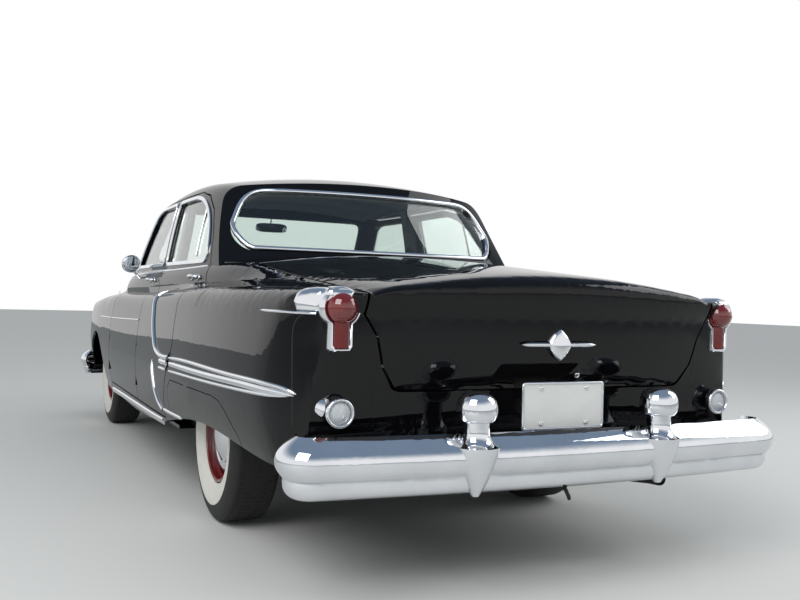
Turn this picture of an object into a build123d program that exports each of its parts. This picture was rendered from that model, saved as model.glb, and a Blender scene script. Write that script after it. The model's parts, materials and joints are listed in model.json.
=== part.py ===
from build123d import *
import math
import os

# Full-size four-door sedan of the early 1950s, in millimetres.
# +Z is up, the ground is z = 0, the front of the car faces -Y and its left side is +X.
# The origin is on the ground below the middle of the bounding box.

# Overall size, axles and wheels
FRONT_AXLE_Y = -1880.5
WHEELBASE = 3150.0
REAR_AXLE_Y = FRONT_AXLE_Y + WHEELBASE
HALF_TRACK = 749.5
TYRE_RADIUS = 364.0
SPINDLE_RADIUS = 21.7
HUB_CLEARANCE = 0.3
KINGPIN_X = 680.0
KINGPIN_RADIUS = 12.0
STEERING_COLUMN_X = 370.0

# Panels, walls and gaps
SKIN = 14.0
LID_SKIN = 26.0
DOOR_WALL = 74.0
ROOF_WALL = 34.0
PANEL_GAP = 8.0
HINGE_GAP = 12.0
FRAME_GAP = 13.0
SEAT_GAP = 0.3
GLASS = 6.0
GLASS_INSET = 12.0
RAIL_TOP_Z = 325.0
FLOOR_Z = RAIL_TOP_Z + SEAT_GAP
FLOOR_T = 16.0
TRUNK_FLOOR_Z = 530.0
BELT_Z = 1105.0

# Panel edges along the car
BODY_FRONT_Y = -2700.0
BODY_REAR_Y = 2700.0
NOSE_Y = -2600.0
TAIL_Y = 2497.0
COWL_Y = -1136.0
B_POST_Y = -64.0
C_POST_Y = 952.0
DASH_Y = -1075.0
HOOD_REAR_Y = -1196.0
HOOD_FRONT_Y = -2560.0
LID_FRONT_Y = 1250.0
LID_BOTTOM_Z = 672.0
LID_HALF = 690.0
DOOR_FOOT_Z = 372.0
QUARTER_Z = 1012.0

# Lower body sections from nose to tail: the place of the section and its corner points
SECTION_COLUMNS = (
    "y", "rocker_x", "rocker_z", "side_x", "side_z", "lean", "crown_r", "crown_z",
    "valley_x", "valley_z", "shoulder_x", "shoulder_z", "top_z",
)
SECTIONS = (
    (BODY_FRONT_Y, 870, 380, 925, 600, 14, 85, 885, 640, 880, 480, 930, 975),
    (-2300, 885, 370, 938, 600, 16, 88, 903, 665, 905, 500, 985, 1035),
    (-1880, 900, 345, 952, 600, 20, 90, 928, 715, 935, 580, 1035, 1085),
    (-1136, 915, 300, 960, 600, 24, 90, 952, 850, 985, 790, 1088, 1128),
    (-300, 920, 302, 962, 600, 26, 90, 957, 845, 990, 815, 1092, 1125),
    (400, 926, 308, 970, 600, 26, 92, 975, 838, 1002, 805, 1095, 1135),
    (1000, 940, 394, 978, 600, 24, 94, 990, 815, 1018, 760, 1108, 1164),
    (1700, 938, 428, 978, 600, 22, 94, 997, 745, 1018, 620, 1078, 1130),
    (2200, 915, 404, 958, 600, 20, 92, 995, 705, 1000, 570, 1040, 1088),
    (BODY_REAR_Y, 860, 430, 900, 600, 20, 90, 975, 660, 960, 520, 1000, 1045),
)

# Nose and tail in side view, by half width: the foot, the lip, the face and the brow above it, each
# curve with the point that it is drawn towards
END_PROFILE_COLUMNS = (
    "x", "foot_y", "lip_y", "swell_y", "face_y", "brow_y", "brow_z", "crest_y", "crest_z")
TAIL_PROFILES = (
    (0, 2470, TAIL_Y, 2560, 2566, 2572, 1056, 2250, 1100),
    (490, 2470, 2492, 2538, 2543, 2548, 1034, 2230, 1072),
    (980, 2430, 2448, 2446, 2442, 2440, 1004, 2330, 1034),
)
NOSE_PROFILES = (
    (0, -2560, NOSE_Y, -2622, -2612, -2602, 1000, -2380, 1080),
    (490, -2555, -2590, -2606, -2600, -2594, 985, -2370, 1056),
    (980, -2490, -2520, -2530, -2524, -2518, 960, -2330, 1010),
)
END_FOOT_Z = 200.0
PLAN_HALF = 1000.0
LIP_Z = 672.0
SWELL_Z = 780.0
FACE_Z = 910.0
END_TOP_Z = 1320.0
# Corners of the body in plan: where each rounding starts, its middle and its end
TAIL_CORNER = ((960, 2225), (917, 2372), (820, 2490))
NOSE_CORNER = ((938, -2340), (902, -2473), (815, -2580))

# Roof sections: half width at the belt and at the side window heads, and the roof's edge
ROOF_BASE_Z = 1075.0
ROOF_COLUMNS = ("y", "base_x", "head_x", "head_z", "edge_x", "edge_z", "top_z")
ROOF_SECTIONS = (
    (-1290, 800, 728, 1330, 640, 1400, 1440),
    (-700, 812, 738, 1430, 640, 1505, 1552),
    (-200, 818, 742, 1452, 640, 1538, 1592),
    (300, 815, 738, 1450, 635, 1540, 1600),
    (800, 795, 715, 1400, 610, 1490, 1545),
    (1200, 765, 680, 1330, 570, 1400, 1440),
)
# Ends of the glasshouse by half width: windscreen y at two heights, back window y at two
ENDS_LOW_Z = 1060.0
ENDS_HIGH_Z = 1700.0
END_COLUMNS = ("x", "screen_low_y", "screen_high_y", "back_low_y", "back_high_y")
END_SECTIONS = (
    (-830, -1110, -530, 1010, 430), (-420, -1215, -480, 1085, 760), (0, -1250, -470, 1100, 840),
    (420, -1215, -480, 1085, 760), (830, -1110, -530, 1010, 430),
)

# Door and window outlines in side view (y, z)
FRONT_DOOR = (
    (COWL_Y, DOOR_FOOT_Z), (B_POST_Y - PANEL_GAP / 2, DOOR_FOOT_Z), (B_POST_Y - PANEL_GAP / 2, BELT_Z),
    (B_POST_Y - FRAME_GAP / 2, BELT_Z + 1), (B_POST_Y - FRAME_GAP / 2, 1480),
    (-590, 1480), (-712, 1452), (-1015, BELT_Z + 22), (COWL_Y, BELT_Z),
)
REAR_DOOR = (
    (B_POST_Y + PANEL_GAP / 2, DOOR_FOOT_Z), (700, DOOR_FOOT_Z), (800, 520), (C_POST_Y - 60, 640),
    (C_POST_Y, 720), (C_POST_Y, 990), (860, BELT_Z + 15), (800, 1250), (700, 1370), (560, 1450),
    (400, 1480), (B_POST_Y + FRAME_GAP / 2, 1480), (B_POST_Y + FRAME_GAP / 2, BELT_Z + 1),
    (B_POST_Y + PANEL_GAP / 2, BELT_Z),
)
FRONT_WINDOW = ((-965, 1128), (-115, 1128), (-115, 1448), (-580, 1448), (-672, 1426))
REAR_WINDOW = (
    (-12, 1128), (790, 1128), (745, 1240), (655, 1345), (530, 1415), (390, 1448), (-12, 1448),
)
SCREEN = ((-705, 1150), (705, 1150), (640, 1478), (-640, 1478))
SCREEN_CORNER = 45.0
BACK_WINDOW = ((-752, 1168), (752, 1168), (612, 1470), (-612, 1470))
BACK_CORNER = 90.0
SKIRT = (
    (848, 330), (2065, 330), (2017, 465), (1958, 505), (1898, 540), (1822, 569), (1730, 578), (960, 568),
    (880, 520),
)

os.makedirs("parts", exist_ok=True)


def save(name, *shapes):
    """Write one node from one solid, or from solids that don't touch."""
    solids = [solid for shape in shapes for solid in shape.solids()]
    if not solids:
        raise ValueError(name)
    export_step(solids[0] if len(solids) == 1 else Compound(children=solids), f"parts/{name}.step")


def line(a, b):
    return Edge.make_line(a, b)


def arc(a, middle, b):
    return Edge.make_three_point_arc(a, middle, b)


def curve(a, middle, b):
    """Parabola from a to b through middle, which lofts into a plainer surface than an arc."""
    a, middle, b = Vector(*a), Vector(*middle), Vector(*b)
    return Edge.make_bezier(a, middle * 2 - (a + b) * 0.5, b)


def bulged(a, b, rise, across):
    """Curve from a to b that stands out from its chord by rise, in the plane across the axis."""
    a, b = Vector(*a), Vector(*b)
    out = (b - a).cross(Vector(*across)).normalized()
    return curve(a, (a + b) * 0.5 + out * rise, b)


def row_at(table, columns, y):
    """The table's row at y, on a smooth curve through its rows."""
    rows = sorted(table)
    last = len(rows) - 2
    i = min(max(sum(1 for row in rows[1:] if row[0] <= y), 0), last)
    before, a, b, after = rows[max(i - 1, 0)], rows[i], rows[i + 1], rows[min(i + 2, last + 1)]
    step = b[0] - a[0]
    t = (y - a[0]) / step
    values = []
    for k in range(len(a)):
        slope_a = (b[k] - before[k]) / (b[0] - before[0]) * step
        slope_b = (after[k] - a[k]) / (after[0] - a[0]) * step
        values.append((2 * t**3 - 3 * t**2 + 1) * a[k] + (t**3 - 2 * t**2 + t) * slope_a
                      + (3 * t**2 - 2 * t**3) * b[k] + (t**3 - t**2) * slope_b)
    values[0] = y
    return dict(zip(columns, values))


def half_points(s, inset):
    """Corner points of half a lower body section, from the sill to the shoulder."""
    crown_x = s["side_x"] - s["lean"] - s["crown_r"]
    crown_z = s["crown_z"] - s["crown_r"]
    r = s["crown_r"] - inset
    return (
        (s["rocker_x"] - inset, s["rocker_z"]),
        (s["side_x"] - inset, s["side_z"]),
        (crown_x + r, crown_z),
        (crown_x + r * math.cos(math.pi / 4), crown_z + r * math.sin(math.pi / 4)),
        (crown_x, crown_z + r),
        (s["valley_x"] - inset * 0.3, s["valley_z"] - inset),
        (s["shoulder_x"] - inset * 0.6, s["shoulder_z"] - inset * 0.8),
    )


def half_edges(s, sign, inset, drop=0.0):
    """Edges of half a lower body section, from the sill to the shoulder."""
    rocker, side, low, middle, crown, valley, shoulder = [
        (sign * x, s["y"], z) for x, z in half_points(s, inset)]
    rocker = (rocker[0], rocker[1], rocker[2] - drop)
    across = (0, -sign, 0)
    return [
        bulged(rocker, side, 10, across), bulged(side, low, 4, across), curve(low, middle, crown),
        line(crown, valley), bulged(valley, shoulder, 12, across),
    ]


def body_volume(stations, inset=0.0, drop=0.0):
    """Solid inside the lower body's skin, each face moved in by inset, open below by drop."""
    wires = []
    for y in stations:
        s = row_at(SECTIONS, SECTION_COLUMNS, y)
        left = half_edges(s, 1, inset, drop)
        right = half_edges(s, -1, inset, drop)
        top = curve(left[-1] @ 1, (0, y, s["top_z"] - inset), right[-1] @ 1)
        wires.append(Wire(left + right + [top, line(right[0] @ 0, left[0] @ 0)]))
    return Solid.make_loft(wires)


def end_volume(profiles, corner, inset=0.0):
    """Solid that ends at the nose or the tail, lofted across the car from side profiles."""
    wires = []
    out = math.copysign(1, profiles[0][1])
    rows = [(-row[0],) + tuple(row[1:]) for row in profiles[:0:-1]] + list(profiles)
    for row in rows:
        p = dict(zip(END_PROFILE_COLUMNS, row))
        x = p["x"]
        back = (x, 0.0, END_FOOT_Z)
        foot = (x, p["foot_y"] - out * inset, END_FOOT_Z)
        lip = (x, p["lip_y"] - out * inset, LIP_Z)
        swell = (x, p["swell_y"] - out * inset, SWELL_Z)
        face = (x, p["face_y"] - out * inset, FACE_Z)
        brow = (x, p["brow_y"] - out * inset, p["brow_z"] - inset)
        crest = (x, p["crest_y"] - out * inset * 0.2, p["crest_z"] - inset)
        top = (x, 0.0, END_TOP_Z)
        wires.append(Wire([
            line(back, foot), line(foot, lip), curve(lip, swell, face), curve(face, brow, crest),
            line(crest, top), line(top, back)]))
    start, middle, end = [(x - share * inset, y - out * inset * (1 - share / 2), END_FOOT_Z)
                          for (x, y), share in zip(corner, (1, 0.8, 0.4))]
    far = (end[0], end[1] + out * 150, END_FOOT_Z)
    wide = (PLAN_HALF, start[1] - out * 200, END_FOOT_Z)
    base = (PLAN_HALF, 0, END_FOOT_Z)
    flip = [(-x, y, z) for x, y, z in (base, wide, start, middle, end, far)]
    plan = Face(Wire([
        line(base, wide), line(wide, start), arc(start, middle, end), line(end, far), line(far, flip[5]),
        line(flip[5], flip[4]), arc(flip[4], flip[3], flip[2]), line(flip[2], flip[1]),
        line(flip[1], flip[0]), line(flip[0], base)]))
    if plan.normal_at().Z < 0:
        plan = -plan
    return Solid.make_loft(wires) & extrude(plan, amount=END_TOP_Z - END_FOOT_Z, dir=(0, 0, 1))


def side_wall(stations, thickness, depth=0.0):
    """Thick wall of the left side from the sill to the belt, its outside set in by depth."""
    wires = []
    for y in stations:
        s = row_at(SECTIONS, SECTION_COLUMNS, y)
        outer = half_edges(s, 1, depth)
        inner = half_edges(s, 1, thickness)
        wires.append(Wire(outer + inner + [
            line(outer[0] @ 0, inner[0] @ 0), line(outer[-1] @ 1, inner[-1] @ 1)]))
    return Solid.make_loft(wires)


def top_strip(stations, thickness):
    """Panel across the car between its two shoulders."""
    wires = []
    for y in stations:
        s = row_at(SECTIONS, SECTION_COLUMNS, y)
        x, z = half_points(s, 0)[-1]
        wires.append(Wire([
            curve((x, y, z), (0, y, s["top_z"]), (-x, y, z)), line((-x, y, z), (-x, y, z - thickness)),
            curve((-x, y, z - thickness), (0, y, s["top_z"] - thickness), (x, y, z - thickness)),
            line((x, y, z - thickness), (x, y, z))]))
    return Solid.make_loft(wires)


def glasshouse(inset=0.0):
    """Solid under the roof, side glass, windscreen and back window, moved in by inset."""
    wires = []
    for row in ROOF_SECTIONS:
        s = dict(zip(ROOF_COLUMNS, row))
        y = s["y"]
        half = []
        for sign in (1, -1):
            base = (sign * (s["base_x"] - inset), y, ROOF_BASE_Z)
            head = (sign * (s["head_x"] - inset), y, s["head_z"] - inset * 0.2)
            edge = (sign * (s["edge_x"] - inset * 0.4), y, s["edge_z"] - inset * 0.9)
            half.append([bulged(base, head, 7, (0, -sign, 0)), bulged(head, edge, 20, (0, -sign, 0))])
        left, right = half
        top = curve(left[-1] @ 1, (0, y, s["top_z"] - inset), right[-1] @ 1)
        wires.append(Wire(left + right + [top, line(right[0] @ 0, left[0] @ 0)]))
    hall = Solid.make_loft(wires)
    ends = []
    for row in END_SECTIONS:
        e = dict(zip(END_COLUMNS, row))
        ends.append(Wire.make_polygon([
            (e["x"], e["screen_low_y"] + inset * 1.6, ENDS_LOW_Z),
            (e["x"], e["screen_high_y"] + inset * 1.6, ENDS_HIGH_Z),
            (e["x"], e["back_high_y"] - inset * 1.15, ENDS_HIGH_Z),
            (e["x"], e["back_low_y"] - inset * 1.15, ENDS_LOW_Z)]))
    return (hall & Solid.make_loft(ends)).solids()[0]


def box(x0, x1, y0, y1, z0, z1):
    return Pos((x0 + x1) / 2, (y0 + y1) / 2, (z0 + z1) / 2) * Box(x1 - x0, y1 - y0, z1 - z0)


def side_prism(outline, x0, x1, grow=0.0):
    """Prism along X from an outline in (y, z)."""
    face = Face(Wire.make_polygon([(x0, y, z) for y, z in outline]))
    if grow:
        face = offset(face, grow, kind=Kind.INTERSECTION).face()
    return extrude(face, amount=x1 - x0, dir=(1, 0, 0))


def end_prism(outline, y0, y1, corner=0.0, grow=0.0):
    """Prism along Y from an outline in (x, z)."""
    face = Face(Wire.make_polygon([(x, y0, z) for x, z in outline]))
    if grow:
        face = offset(face, grow, kind=Kind.INTERSECTION).face()
    if corner:
        face = face.fillet_2d(corner, face.vertices())
    return extrude(face, amount=y1 - y0, dir=(0, 1, 0))


def plan_prism(outline, z0, z1, corner=0.0):
    """Prism along Z from an outline in (x, y)."""
    face = Face(Wire.make_polygon([(x, y, z0) for x, y in outline]))
    if corner:
        face = face.fillet_2d(corner, face.vertices())
    return extrude(face, amount=z1 - z0, dir=(0, 0, 1))


def mirrored(shape):
    return mirror(shape, Plane.YZ)


def both(name, *shapes):
    """Write a left piece and its mirror image as two nodes."""
    save(f"{name}_left", *shapes)
    save(f"{name}_right", *[mirrored(shape) for shape in shapes])


def rod(a, b, radius):
    a, b = Vector(*a), Vector(*b)
    return Solid.make_cylinder(radius, (b - a).length, Plane(origin=a, z_dir=b - a))


def turned(points, centre, arcs=()):
    """Solid of revolution about an axis along X; points are (outward, radius)."""
    x, y, z = centre
    edges = []
    for k, a in enumerate(points):
        b = points[(k + 1) % len(points)]
        p, q = (x + a[0], y, z + a[1]), (x + b[0], y, z + b[1])
        edges.append(bulged(p, q, arcs[k], (0, 1, 0)) if k < len(arcs) and arcs[k] else line(p, q))
    face = Face(Wire(edges))
    return revolve(face, Axis((x, y, z), (1, 0, 0)))


# Front body: fenders, hood and the nose with its grille
front_stations = (BODY_FRONT_Y, -2311, -1922, -1533, COWL_Y - PANEL_GAP)
front_body = body_volume(front_stations) & end_volume(NOSE_PROFILES, NOSE_CORNER)
front_core = body_volume(front_stations, SKIN, 60) & end_volume(NOSE_PROFILES, NOSE_CORNER, SKIN)
hood_core = body_volume(front_stations, LID_SKIN, 60) & end_volume(NOSE_PROFILES, NOSE_CORNER, LID_SKIN)
hood_plan = ((-600, HOOD_FRONT_Y), (600, HOOD_FRONT_Y), (790, HOOD_REAR_Y), (-790, HOOD_REAR_Y))
hood_hole = ((-608, HOOD_FRONT_Y - 8), (608, HOOD_FRONT_Y - 8), (808, HOOD_REAR_Y + 60),
             (-808, HOOD_REAR_Y + 60))
hood_gap = plan_prism(hood_hole, 850, 1300)
hood = (front_body & plan_prism(hood_plan, 862, 1300)) - hood_core


def wheel_arch(y, z, half_y, top_z):
    """Wheel opening: an ellipse in side view."""
    ellipse = Edge.make_ellipse(half_y, top_z - z, Plane(
        origin=(500, y, z), x_dir=(0, 1, 0), z_dir=(1, 0, 0)))
    return extrude(Face(Wire(ellipse)), amount=500, dir=(1, 0, 0))


NOSE_HALF = 690.0
fender_cut = box(NOSE_HALF + SEAT_GAP, 1000, -2700, COWL_Y - PANEL_GAP, 250, 1100)
fender_cut = fender_cut + box(300, 1000, -2440, COWL_Y - PANEL_GAP, 700, 1100)
front_fender = (front_body & fender_cut) - front_core - hood_gap
front_fender = front_fender - wheel_arch(FRONT_AXLE_Y, 290, 445, 668)
both("front_fender", front_fender.solids().sort_by(SortBy.VOLUME)[-1])
MOUTH = ((-560, 500), (560, 500), (610, 620), (530, 740), (-530, 740), (-610, 620))
nose = (front_body & box(-NOSE_HALF, NOSE_HALF, -2700, -2440 - SEAT_GAP, 250, 1100)) - front_core - hood_gap
nose = nose - end_prism(MOUTH, -2700, -2500, 30)
grille_bar = box(-622, 622, NOSE_Y + 14, NOSE_Y + 44, 600, 650)
grille_teeth = [box(x - 9, x + 9, NOSE_Y + 16, NOSE_Y + 40, 490, 610) for x in range(-480, 481, 120)]
save("grille", nose + grille_bar + grille_teeth)

# Rear body: fenders with skirts, tail panel and trunk lid
rear_stations = (700, 1200, 1700, 2200, BODY_REAR_Y)
rear_body = body_volume(rear_stations) & end_volume(TAIL_PROFILES, TAIL_CORNER)
rear_core = body_volume(rear_stations, SKIN, 60) & end_volume(TAIL_PROFILES, TAIL_CORNER, SKIN)
lid_core = body_volume(rear_stations, LID_SKIN, 60) & end_volume(TAIL_PROFILES, TAIL_CORNER, LID_SKIN)


def lid_region(grow):
    """Region of the trunk lid, seen from above and from behind."""
    plan = plan_prism((
        (-LID_HALF - grow, LID_FRONT_Y - grow), (LID_HALF + grow, LID_FRONT_Y - grow),
        (LID_HALF + grow, 2700), (-LID_HALF - grow, 2700)), 400, 1300, 60)
    half = ((570 + grow, LID_BOTTOM_Z - grow), (622 + grow, 745), (646 + grow, 840), (700 + grow, 930),
            (700 + grow, 1300))
    rear = end_prism([(-x, z) for x, z in half[::-1]] + list(half), 1100, 2700, 50)
    return plan & rear


lid_hole = lid_region(8)
lid = (rear_body & lid_region(0)) - lid_core
DOOR_IN_X = 655.0
rear_door_hole = side_prism(REAR_DOOR, DOOR_IN_X - 5, 1000, grow=PANEL_GAP)
front_door_hole = side_prism(FRONT_DOOR, DOOR_IN_X - 5, 1000, grow=PANEL_GAP)
FENDER_IN_X = 646.0
rear_cut = box(FENDER_IN_X, 1000, 705, LID_FRONT_Y - PANEL_GAP, 250, QUARTER_Z)
rear_cut = rear_cut + box(FENDER_IN_X, 1000, LID_FRONT_Y - PANEL_GAP, 2700, 250, 1100)
rear_fender = (rear_body & rear_cut) - rear_core - lid_hole - rear_door_hole
rear_fender = rear_fender - side_prism(SKIRT, 860, 1000, grow=4)
skirt = (rear_body & side_prism(SKIRT, 860, 1000)) - rear_core
skirt_clip = box(905, 990, REAR_AXLE_Y - 40, REAR_AXLE_Y + 40, 555, 640)
skirt = skirt + (skirt_clip & body_volume(rear_stations, SKIN + SEAT_GAP))
skirt = skirt + (box(905, 990, REAR_AXLE_Y - 40, REAR_AXLE_Y + 40, 555, 580) & body_volume(rear_stations, 4))
both("rear_fender", rear_fender.solids().sort_by(SortBy.VOLUME)[-1], skirt)
tail_panel = (rear_body & box(SEAT_GAP - FENDER_IN_X, FENDER_IN_X - SEAT_GAP, 2380, 2700, 380, 900)) - rear_core
save("tail_panel", tail_panel - lid_hole)

# Glasshouse, doors and body shell
roof_shell = glasshouse() - glasshouse(ROOF_WALL)
wall_stations = (COWL_Y, -550, 50, 650, LID_FRONT_Y - PANEL_GAP)
wall = side_wall(wall_stations, DOOR_WALL)
cowl_side = side_wall((COWL_Y - 60, COWL_Y - 30, COWL_Y), DOOR_WALL, SKIN + 7 * SEAT_GAP)
cowl = top_strip((COWL_Y - 54, COWL_Y - 20, DASH_Y), LID_SKIN)
shelf = top_strip((985, 1100, LID_FRONT_Y - HINGE_GAP), LID_SKIN)
upper = roof_shell - end_prism(SCREEN, -1400, -300, SCREEN_CORNER)
upper = upper - end_prism(BACK_WINDOW, 560, 1300, BACK_CORNER)
left_frame = roof_shell & box(DOOR_IN_X, 1000, COWL_Y, 900, ROOF_BASE_Z, 1500)
door_stuff = wall + left_frame
front_door = ((door_stuff & side_prism(FRONT_DOOR, DOOR_IN_X, 1000))
              - side_prism(FRONT_WINDOW, 480, 1000)).solids().sort_by(SortBy.VOLUME)[-1]
rear_door = ((door_stuff & side_prism(REAR_DOOR, DOOR_IN_X, 1000))
             - side_prism(REAR_WINDOW, 480, 1000)).solids().sort_by(SortBy.VOLUME)[-1]
quarter_cut = box(600, 1000, 705 - SEAT_GAP, LID_FRONT_Y, 200, QUARTER_Z + SEAT_GAP)
side_shell = wall - quarter_cut

# Door hinges: a strap from the post to a pin that stands in the door's front wall
HINGE_ZS = (480.0, 660.0)
HINGE_PIN_RADIUS = 3.5
FRONT_HINGE = (953.0, COWL_Y + 6)
REAR_HINGE = (956.0, B_POST_Y + PANEL_GAP / 2 + 6)
straps = []
for (hinge_x, hinge_y), post_x in ((FRONT_HINGE, 870), (REAR_HINGE, 860)):
    for z in HINGE_ZS:
        strap = box(post_x, hinge_x, hinge_y - 4, hinge_y + 4, z - 12, z + 12)
        strap = strap + box(post_x - 14, post_x + 4, hinge_y - 24, hinge_y + 4, z - 12, z + 12)
        straps.append(strap + Pos(hinge_x, hinge_y, z) * Cylinder(HINGE_PIN_RADIUS, 60))


def hinged(door, hinge):
    """A door with its pin bores and the pockets that its hinge straps swing in."""
    x, y = hinge
    for z in HINGE_ZS:
        door = door - box(820, x + 5, y - 20, y + 9, z - 17, z + 17)
        door = door - box(x - 4, x + 30, y - 20, y - 1, z - 17, z + 17)
        door = door - Pos(x, y, z) * Cylinder(HINGE_PIN_RADIUS + HUB_CLEARANCE, 61)
    return door


both("front_door", hinged(front_door, FRONT_HINGE))
both("rear_door", hinged(rear_door, REAR_HINGE))

# Posts behind the doors: outline in (x, z)
A_POST = ((640, FLOOR_Z), (880, FLOOR_Z), (900, 600), (895, 760), (870, 870), (820, 940), (790, 1000),
          (770, 1075), (640, 1075))
B_POST = ((810, FLOOR_Z), (850, FLOOR_Z), (850, 500), (872, 600), (853, 840), (806, 890), (758, 1015),
          (758, 1080), (694, 1440), (660, 1515), (630, 1515), (650, 1440), (710, 1080), (710, 1000), (790, 840))
TOE_HALF = 650.0
a_post = end_prism(A_POST, COWL_Y - 20, COWL_Y - PANEL_GAP)
a_post = a_post + box(TOE_HALF - 14, TOE_HALF - 2, COWL_Y - 20, DASH_Y, FLOOR_Z, 1075)
b_post = end_prism(B_POST, B_POST_Y - 40, B_POST_Y + 40)
sill_flange = box(770, 870, COWL_Y - 50, 690, FLOOR_Z - SEAT_GAP - 16, FLOOR_Z - SEAT_GAP)
post_foot = box(770, 880, COWL_Y - 20, COWL_Y - PANEL_GAP, FLOOR_Z - 16, FLOOR_Z + 40)
b_foot = box(800, 850, B_POST_Y - 40, B_POST_Y + 40, FLOOR_Z - 16, FLOOR_Z + 40)
apron = box(458, 468, -2420, DASH_Y - 8, FLOOR_Z, 860)
apron = apron - box(450, 480, FRONT_AXLE_Y - 60, FRONT_AXLE_Y + 60, 420, 500)
left_side = side_shell + cowl_side
left_side = left_side - front_door_hole - rear_door_hole
left_extra = a_post + b_post + sill_flange + post_foot + b_foot + apron
firewall = box(2 - TOE_HALF, TOE_HALF - 2, DASH_Y - 12, DASH_Y, FLOOR_Z, 1095)
shell = (upper + cowl + shelf) - front_door_hole - rear_door_hole - mirrored(front_door_hole + rear_door_hole)
shell = shell - box(-900, 900, -1400, HOOD_REAR_Y + HINGE_GAP, 900, 1300)
shell = shell + firewall + left_side + mirrored(left_side)
shell = shell + left_extra + mirrored(left_extra) + straps + [mirrored(strap) for strap in straps]

# Hinges of the hood and the trunk lid: a round knuckle on the panel turns on a pin of the body
KNUCKLE_RADIUS = 6.5
KNUCKLE_HALF = 14.0
PANEL_PIN_RADIUS = 3.0
HOOD_HINGE = (HOOD_REAR_Y + 5, 1125.0)
LID_HINGE = (LID_FRONT_Y - 5, 1150.0)


def knuckles(shell, panel, hinge, toward):
    """Body and panel with their two hinges; toward is the panel's side of the hinge along Y."""
    y, z = hinge
    for x in (-200, 200):
        low, high = x - KNUCKLE_HALF, x + KNUCKLE_HALF
        panel = panel - rod((low - 18, y, z), (high + 18, y, z), KNUCKLE_RADIUS + 1.5)
        near, far = sorted((y, y + toward * 18))
        panel = panel + box(low, high, near, far, z - KNUCKLE_RADIUS, z) + rod((low, y, z), (high, y, z), KNUCKLE_RADIUS)
        panel = panel - rod((low - 1, y, z), (high + 1, y, z), PANEL_PIN_RADIUS + HUB_CLEARANCE)
        shell = shell - rod((low - 1, y, z), (high + 1, y, z), KNUCKLE_RADIUS + 1.5)
        near, far = sorted((y, y - toward * 14))
        for start, end in ((low - 16, low - SEAT_GAP), (high + SEAT_GAP, high + 16)):
            shell = shell + box(start, end, near, far, z - KNUCKLE_RADIUS, z)
            shell = shell + rod((start, y, z), (end, y, z), KNUCKLE_RADIUS)
        shell = shell + rod((low - 8, y, z), (high + 8, y, z), PANEL_PIN_RADIUS)
    return shell, panel


shell, hood = knuckles(shell, hood, HOOD_HINGE, -1)
shell, lid = knuckles(shell, lid, LID_HINGE, 1)
save("hood", hood.solids().sort_by(SortBy.VOLUME)[-1])
save("trunk_lid", lid.solids().sort_by(SortBy.VOLUME)[-1])
save("body_shell", shell)
glass_shell = glasshouse(GLASS_INSET) - glasshouse(GLASS_INSET + GLASS)
both("front_door_glass", glass_shell & side_prism(FRONT_WINDOW, 600, 1000, grow=-SEAT_GAP))
both("rear_door_glass", glass_shell & side_prism(REAR_WINDOW, 600, 1000, grow=-SEAT_GAP))
save("windscreen", glass_shell & end_prism(SCREEN, -1400, -300, SCREEN_CORNER, -SEAT_GAP))
save("back_window", glass_shell & end_prism(BACK_WINDOW, 560, 1300, BACK_CORNER, -SEAT_GAP))

# Wheels: tyre, rim with its hubcap
TYRE = ((-70, 200.3), (70, 200.3), (104, 285), (78, 360), (-78, 360), (-104, 285))
TYRE_ARCS = (0, -6, -9, -4, -9, -6)
WHEEL = ((-78, 188), (-78, 200), (78, 200), (78, 188), (12, 188), (12, 132), (62, 0), (0, 0),
         (0, SPINDLE_RADIUS + HUB_CLEARANCE), (-40, SPINDLE_RADIUS + HUB_CLEARANCE), (-40, 55), (-6, 60),
         (-6, 188))
WHEEL_ARCS = (0, 0, 0, 0, 0, 14)
for end, axle_y in (("front", FRONT_AXLE_Y), ("rear", REAR_AXLE_Y)):
    centre = (HALF_TRACK, axle_y, TYRE_RADIUS)
    both(f"{end}_tyre", turned(TYRE, centre, TYRE_ARCS))
    both(f"{end}_wheel", turned(WHEEL, centre, WHEEL_ARCS))

# Running gear
hub_x = HALF_TRACK - 0.6
knuckle = Pos(KINGPIN_X, FRONT_AXLE_Y, TYRE_RADIUS) * Cylinder(24, 150)
knuckle = knuckle + rod((KINGPIN_X + 10, FRONT_AXLE_Y, TYRE_RADIUS), (hub_x, FRONT_AXLE_Y, TYRE_RADIUS),
                        SPINDLE_RADIUS)
knuckle = knuckle + box(560, KINGPIN_X, FRONT_AXLE_Y + 10, FRONT_AXLE_Y + 34, 300, 324)
knuckle = knuckle - Pos(KINGPIN_X, FRONT_AXLE_Y, TYRE_RADIUS) * Cylinder(KINGPIN_RADIUS + HUB_CLEARANCE, 160)
both("knuckle", knuckle)
arms = []
for sign in (1, -1):
    x0, x1 = sorted((sign * 400, sign * (KINGPIN_X + 20)))
    low0, low1 = sorted((sign * (461 + SEAT_GAP), sign * (KINGPIN_X + 20)))
    arms.append(box(low0, low1, FRONT_AXLE_Y - 22, FRONT_AXLE_Y + 22, 262, 280))
    arms.append(box(x0, x1, FRONT_AXLE_Y - 22, FRONT_AXLE_Y + 22, 450, 466))
    arms.append(rod((sign * KINGPIN_X, FRONT_AXLE_Y, 270), (sign * KINGPIN_X, FRONT_AXLE_Y, 460), KINGPIN_RADIUS))
    arms.append(box(*sorted((sign * 390, sign * 420)), FRONT_AXLE_Y - 40, FRONT_AXLE_Y + 40, FLOOR_Z, 480))
crossmember = box(-420, 420, FRONT_AXLE_Y - 60, FRONT_AXLE_Y + 60, FLOOR_Z, 345)
save("front_suspension", crossmember + arms)
AXLE = ((-hub_x, 0), (-hub_x, SPINDLE_RADIUS), (-690, SPINDLE_RADIUS), (-690, 36), (-150, 36), (-90, 120),
        (90, 120), (150, 36), (690, 36), (690, SPINDLE_RADIUS), (hub_x, SPINDLE_RADIUS), (hub_x, 0))
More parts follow.
